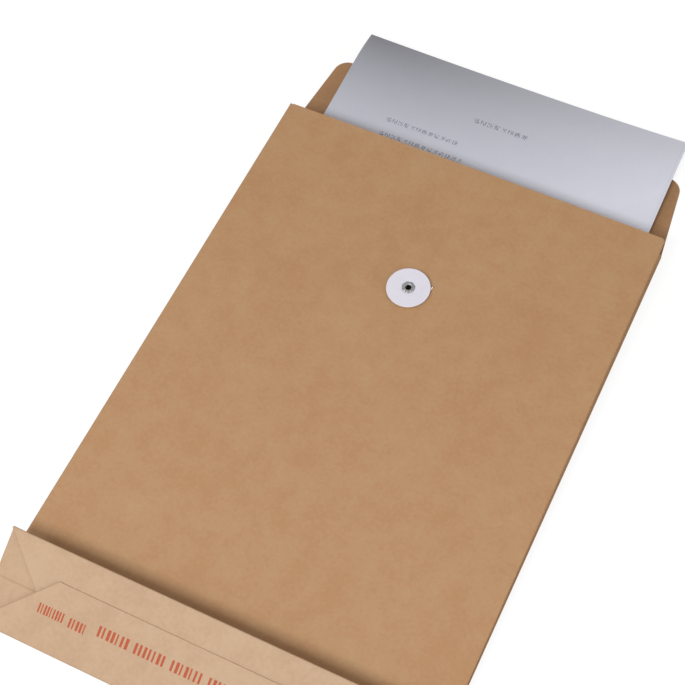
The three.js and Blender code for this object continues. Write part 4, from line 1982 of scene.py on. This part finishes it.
@dataclass(frozen=True)
class Flap:
    """The spine and the flap beyond it, with their creases and the flap's button.

    Attributes:
        along: Unit vector up the open flap, in Y and Z.
        out: Unit vector out of its upper face.
        crease: How far a crease's strip reaches to each side of it.
        side_gap: From the flap's root to the envelope's full width, on each side.
        corner: Radius of the flap's corners.
        hang: How far its right-hand corner hangs.
        hang_start: Where that starts, from the middle line.
        hang_run: How long it takes.
        mouth_handle: Length of the handles of the mouth's fold.
        dip: Depth of the score.
        crease_steps: Number of pieces across a crease.
    """

    along: ClassVar[Array] = direction(SIZE.flap_lean)
    out: ClassVar[Array] = normal(SIZE.flap_lean)
    crease: float = 0.8
    side_gap: float = 0.3
    corner: float = 9.0
    hang: float = 3.2
    hang_start: float = 20.0
    hang_run: float = 90.0
    mouth_handle: float = 0.5
    dip: float = 0.12
    crease_steps: int = 8

    def half(self, y: float) -> float:
        """Half the flap's width at a distance from the mouth's crease."""
        return SIZE.half - self.side_gap - y * math.tan(math.radians(SIZE.flap_taper))

    def sag(self, x: Array, y: Array) -> Array:
        """How far the open flap's right-hand corner hangs below its plane.

        Args:
            x: Distance from the middle line.
            y: Distance from the bottom crease.

        Returns:
            The height over the plane, which is below 0.
        """
        across = np.clip((x - self.hang_start) / self.hang_run, 0.0, 1.0)
        out = np.clip((y - SIZE.length) / (SIZE.spine + SIZE.flap), 0.0, 1.0)
        return -self.hang * across**2 * out

    def at(self, y: float) -> Array:
        """A point of the open flap's middle, in Y and Z."""
        return Creases.mouth + y * self.along - SIZE.ply / 2 * self.out

    def _ply(
        self, name: str, points: Array, first: float, corner: float = 0.0, **more: object
    ) -> bpy.types.Object:
        """A stretch of the flap along a profile.

        Args:
            name: The ply's name.
            points: Its profile, in Y and Z.
            first: Where it starts, from the mouth's crease.
            corner: Radius of its far corners.
            **more: More of the ply's own values.

        Returns:
            The ply.
        """
        profile = Profile(points)
        length = profile.length
        a, b = self.half(first), self.half(first + length)
        outline = rounded([(-a, 0), (a, 0), (b, length), (-b, length)], [0, 0, corner, corner])
        return Ply(
            name, outline, over(profile, self.sag), spacing=4.0, pattern=(0.0, SIZE.length + first),
            **more,
        ).build()

    def _crease(self, name: str, points: Array, first: float) -> None:
        """Makes a narrow strip across a crease, fixed where it is made.

        Args:
            name: The strip's name.
            points: Its profile, in Y and Z.
            first: Where it starts, from the mouth's crease.
        """
        rows = fold_rows(Profile(points).length, self.crease_steps)[1:-1]
        made = dress(self._ply(name, points, first, rows=rows), Finish.KRAFT_INSIDE_SHADED)
        ends = [Row.metres(np.array([0.0, *points[k]])) for k in (0, -1)]
        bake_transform(made)

    def build(self) -> None:
        """Makes the spine, the flap, their creases and the flap's button."""
        gap, score, end = self.crease, SIZE.spine, SIZE.spine + SIZE.flap
        spine = self._ply("spine_strip", np.array([self.at(gap), self.at(score - gap)]), gap)
        dress(spine, Finish.KRAFT_INSIDE_SHADED, "flap_spine", body="spine")
        hole = circle((0.0, SIZE.flap_button - gap), SIZE.button_bore, HOLE_STEPS)
        points = np.array([self.at(score + gap), self.at(end)])
        flap = self._ply("flap_sheet", points, score + gap, self.corner, holes=[hole])
        dress(flap, Finish.KRAFT_INSIDE_SHADED, "closure_flap", body="flap")
        back = np.array([BackPanel.end, BackPanel.middle])
        mouth = bezier(back, np.array([1.0, 0.0]), self.along, self.at(gap), self.mouth_handle)
        self._crease("mouth_crease", mouth, -gap)
        t = np.linspace(0.0, 1.0, self.crease_steps + 1)[:, None]
        first, last = self.at(score - gap), self.at(score + gap)
        dipped = first + t * (last - first) - self.dip * np.sin(np.pi * t) * self.out
        self._crease("score_crease", dipped, score - gap)
        under = self.at(score + SIZE.flap_button) - SIZE.ply / 2 * self.out
        Button("flap", Seat(under, SIZE.flap_lean, -1), 0.0).build("flap", "flap_button_body")


@dataclass(frozen=True)
class Documents:
    """The sheets of paper standing out of the mouth.

    They rise from the back to the tip of the open flap, on the line they slide along, and
    droop past it. Both sides curl up towards the far end.

    Attributes:
        count: Number of sheets.
        turn: How far they are turned in the envelope, in degrees.
        shift: How far they lie to the right of its middle.
        side_step: From one sheet's edge to the next one's, sideways.
        end_step: The same at their far ends.
        protrusion: How far they stand out of the mouth.
        heel: Where the line that they slide along starts, from the bottom crease.
        clearance: Room under them at its two ends.
        valley: Where they lie lowest, from their middle line.
        left_curl: How far the left side curls up, a left run away from the valley.
        left_run: That run.
        right_curl: The same on the right.
        right_run: That run.
        held_curl: Share of the curl that is left inside the envelope.
        free: Length over which the envelope lets go of the curl.
        droop: How far the sheets droop, a droop run past the flap's tip.
        droop_run: That run.
        keep_when_closed: Share of their length left as the flap closes over them.
    """

    count: int = 4
    turn: float = 0.7
    shift: float = 1.3
    side_step: float = 1.5
    end_step: float = 0.5
    protrusion: float = 80.0
    heel: float = 50.0
    clearance: float = 0.3
    valley: float = 50.0
    left_curl: float = 3.0
    left_run: float = 155.0
    right_curl: float = 1.2
    right_run: float = 55.0
    held_curl: float = 0.1
    free: float = 88.0
    droop: float = 2.8
    droop_run: float = 26.0
    keep_when_closed: float = 0.72

    def curl(self, x: Array, y: Array) -> Array:
        """How far the sheets' sides stand up: squares of the distance from the valley.

        Args:
            x: Distance from the sheets' middle line.
            y: Distance from their far end, below 0 on the sheets.

        Returns:
            The height.
        """
        free = np.clip(1.0 + y / self.free, 0.0, 1.0)
        share = self.held_curl + (1 - self.held_curl) * free**2 * (3 - 2 * free)
        left = np.clip((self.valley - x) / self.left_run, 0.0, None) ** 2 * self.left_curl
        right = np.clip((x - self.valley) / self.right_run, 0.0, None) ** 2 * self.right_curl
        return share * (left + right)

    def height(self, y: Array) -> Array:
        """Height of the lowest sheet's middle: a straight line that droops past the flap's tip.

        Args:
            y: Distance from the bottom crease.

        Returns:
            The height over the table.
        """
        tip = Creases.mouth + (SIZE.spine + SIZE.flap) * direction(SIZE.flap_lean)
        low, high = SIZE.ply + self.clearance, tip[1] + self.clearance
        steep = (high - low) / (tip[0] - self.heel)
        past = np.clip((y - tip[0]) / self.droop_run, 0.0, None) ** 2 * self.droop
        return low + steep * (y - self.heel) - past

    def bend(self, number: int) -> Bend:
        """Where one sheet's flat points lie. Its flat origin is the middle of its far end.

        Args:
            number: The sheet's number, from 0 at the bottom.

        Returns:
            The bend.
        """
        turn = math.radians(self.turn)
        side = (0.5 - number % 2) * self.side_step
        slip = -((number * 2) % 3) * self.end_step

        def bend(flat: Array) -> Array:
            """Turns and shifts flat points, then lifts them onto the pile and into its curl.

            Args:
                flat: Flat points.

            Returns:
                Their places.
            """
            u, v = flat[:, 0] + side, flat[:, 1] + slip
            x = u * math.cos(turn) - v * math.sin(turn)
            y = u * math.sin(turn) + v * math.cos(turn)
            along = SIZE.length + self.protrusion + y
            up = self.height(along) + number * SIZE.sheet_pitch + self.curl(x, y)
            return np.column_stack([self.shift + x, along, up])

        return bend

    def build(self) -> None:
        """Makes the sheets, the printed one on top."""
        half = SIZE.sheet_width / 2
        outline = box_outline(-half, half, -SIZE.sheet_length, 0.0)
        heel = SIZE.length + self.protrusion - SIZE.sheet_length
        anchor = Row.metres(np.array([0.0, heel, 0.0]))
        for number in range(self.count):
            ply = Ply(
                f"document_{number + 1}", outline, self.bend(number), thickness=SIZE.sheet, spacing=6.0
            )
            top = number == self.count - 1
            made = dress(
                ply.build(), Finish.PRINTED_SHADED_SHEET if top else Finish.SHEET_PAPER,
                f"document_sheet_{number + 1}", body="documents",
            )
            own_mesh(made)


@dataclass(frozen=True)
class CameraFit:
    """The camera that took the photograph, in the envelope's frame in millimetres.

    Attributes:
        place: Where it stands.
        azimuth: Direction in which it looks, in degrees from +Y towards +X.
        elevation: How far it looks down, in degrees.
        roll: How far it is turned about its own line of sight, in degrees.
        focal_px: Its focal length in pixels.
        centre_px: The pixel on its line of sight.
        picture_px: Width and height of the picture in pixels.
        sensor: Width of its sensor.
    """

    place: tuple[float, float, float] = (190.40, -123.54, 705.92)
    azimuth: float = -26.49
    elevation: float = 59.70
    roll: float = -1.71
    focal_px: float = 1447.6
    centre_px: tuple[float, float] = (408.07, 328.05)
    picture_px: float = 685.0
    sensor: float = 36.0

    def build(self) -> None:
        """Makes the camera and sets it as the scene's."""
        az, el = math.radians(self.azimuth), math.radians(self.elevation)
        right = np.array([math.cos(az), -math.sin(az), 0.0])
        look = np.array([
            math.sin(az) * math.cos(el), math.cos(az) * math.cos(el), -math.sin(el)
        ])
        up = np.cross(right, look)
        turn = math.radians(self.roll)
        right, up = (
            math.cos(turn) * right + math.sin(turn) * up,
            math.cos(turn) * up - math.sin(turn) * right,
        )
        lens = bpy.data.cameras.new("camera")
        lens.sensor_width = self.sensor
        lens.lens = self.sensor * self.focal_px / self.picture_px
        lens.shift_x = (self.picture_px / 2 - self.centre_px[0]) / self.picture_px
        lens.shift_y = (self.centre_px[1] - self.picture_px / 2) / self.picture_px
        lens.clip_start, lens.clip_end = 0.01, 20.0
        lens.dof.use_dof = False
        camera = bpy.data.objects.new("camera", lens)
        matrix = np.eye(4)
        matrix[:3, :4] = np.stack([right, up, -look, Row.metres(self.place)], axis=1)
        camera.matrix_world = Matrix(matrix.tolist())
        bpy.context.scene.collection.objects.link(camera)
        bpy.context.scene.camera = camera


@dataclass(frozen=True)
class Lamp:
    """One soft rectangular light, aimed at the row frame's middle, in metres and watts."""

    name: str
    place: tuple[float, float, float]
    size: tuple[float, float]
    power: float
    tint: tuple[float, float, float] = (0.98, 1.0, 1.05)

    def build(self) -> None:
        """Makes the light, turned towards its aim."""
        data = bpy.data.lights.new(self.name, "AREA")
        data.shape = "RECTANGLE"
        data.size, data.size_y = self.size
        data.energy = self.power
        data.color = self.tint
        lamp = bpy.data.objects.new(self.name, data)
        lamp.location = self.place
        lamp.rotation_euler = (-Vector(self.place)).to_track_quat("-Z", "Y").to_euler()
        bpy.context.scene.collection.objects.link(lamp)


LAMPS = (
    Lamp("near", (-0.1, -0.8, 1.12), (0.45, 0.45), 10.5),
    Lamp("right", (1.3, -0.1, 0.5), (0.6, 0.6), 4.5),
    Lamp("near_left", (-0.95, -0.75, 1.0), (0.4, 0.4), 3.0),
)


@dataclass(frozen=True)
class Studio:
    """The floor, the lights, the surroundings and the camera.

    Attributes:
        sky: Colour of the even light from all round, as strong as it shines.
        floor_reach: From the middle to the floor's edges, in metres.
        floor_sunk: How far it lies below the envelope, in metres.
        floor_bright: Colour of the floor as it lights the envelope.
        floor_dark: Its colour in the picture, where it also glows.
        floor_glow: How strongly it glows there.
    """

    sky: tuple[float, float, float] = (0.3914, 0.3648, 0.3344)
    floor_reach: float = 3.0
    floor_sunk: float = 0.0002
    floor_bright: tuple[float, float, float] = (0.5, 0.5, 0.51)
    floor_dark: float = 0.16
    floor_glow: float = 0.88

    def build(self) -> None:
        """Makes the surroundings."""
        self._floor()
        self._world()
        for lamp in LAMPS:
            lamp.build()
        CameraFit().build()
        view = bpy.context.scene.view_settings
        view.view_transform = "Standard"
        view.look = "None"
        view.exposure = 0.0

    def _floor(self) -> None:
        """Makes a plain pale floor, seen white."""
        reach, height = self.floor_reach, -self.floor_sunk
        corners = [(*corner, height) for corner in box_outline(-reach, reach, -reach, reach).tolist()]
        mesh = bpy.data.meshes.new("floor")
        mesh.from_pydata(corners, [], [(0, 1, 2, 3)])
        floor = bpy.data.objects.new("floor", mesh)
        bpy.context.scene.collection.objects.link(floor)
        net = Net(bpy.data.materials.new("Floor"))
        seen = net.node("LightPath", "Is Camera Ray")
        dark, glow = ((*[level] * 3, 1.0) for level in (self.floor_dark, self.floor_glow))
        tint = net.mix(seen, (*self.floor_bright, 1.0), dark)
        shine = net.mix(seen, colour("000000"), glow)
        mesh.materials.append(
            net.finish(
                Base_Color=tint, Roughness=0.9, Specular_IOR_Level=0.0, Emission_Color=shine,
                Emission_Strength=1.0,
            )
        )

    def _world(self) -> None:
        """Makes even light from all round, which looks white behind the floor and in the metal."""
        world = bpy.data.worlds.new("surroundings")
        net = Net(world)
        seen = net.node("LightPath", "Is Camera Ray")
        for kind in ("Is Glossy Ray", "Is Transmission Ray"):
            seen = seen.most(net.node("LightPath", kind))
        tint = net.mix(seen, (*self.sky, 1.0), colour("ffffff"))
        net.end("World", net.node("Background", "Background", Color=tint, Strength=1.0))
        bpy.context.scene.world = world


def main() -> None:
    """Builds the whole scene."""
    logging.basicConfig(level=logging.INFO, format="%(name)s: %(message)s")
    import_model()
    BackPanel().build()
    for side in (-1, 1):
        Gusset(side).build()
    BlockBottom().build()
    Front().build()
    Flap().build()
    Documents().build()
    Studio().build()


if __name__ == "__main__":
    main()
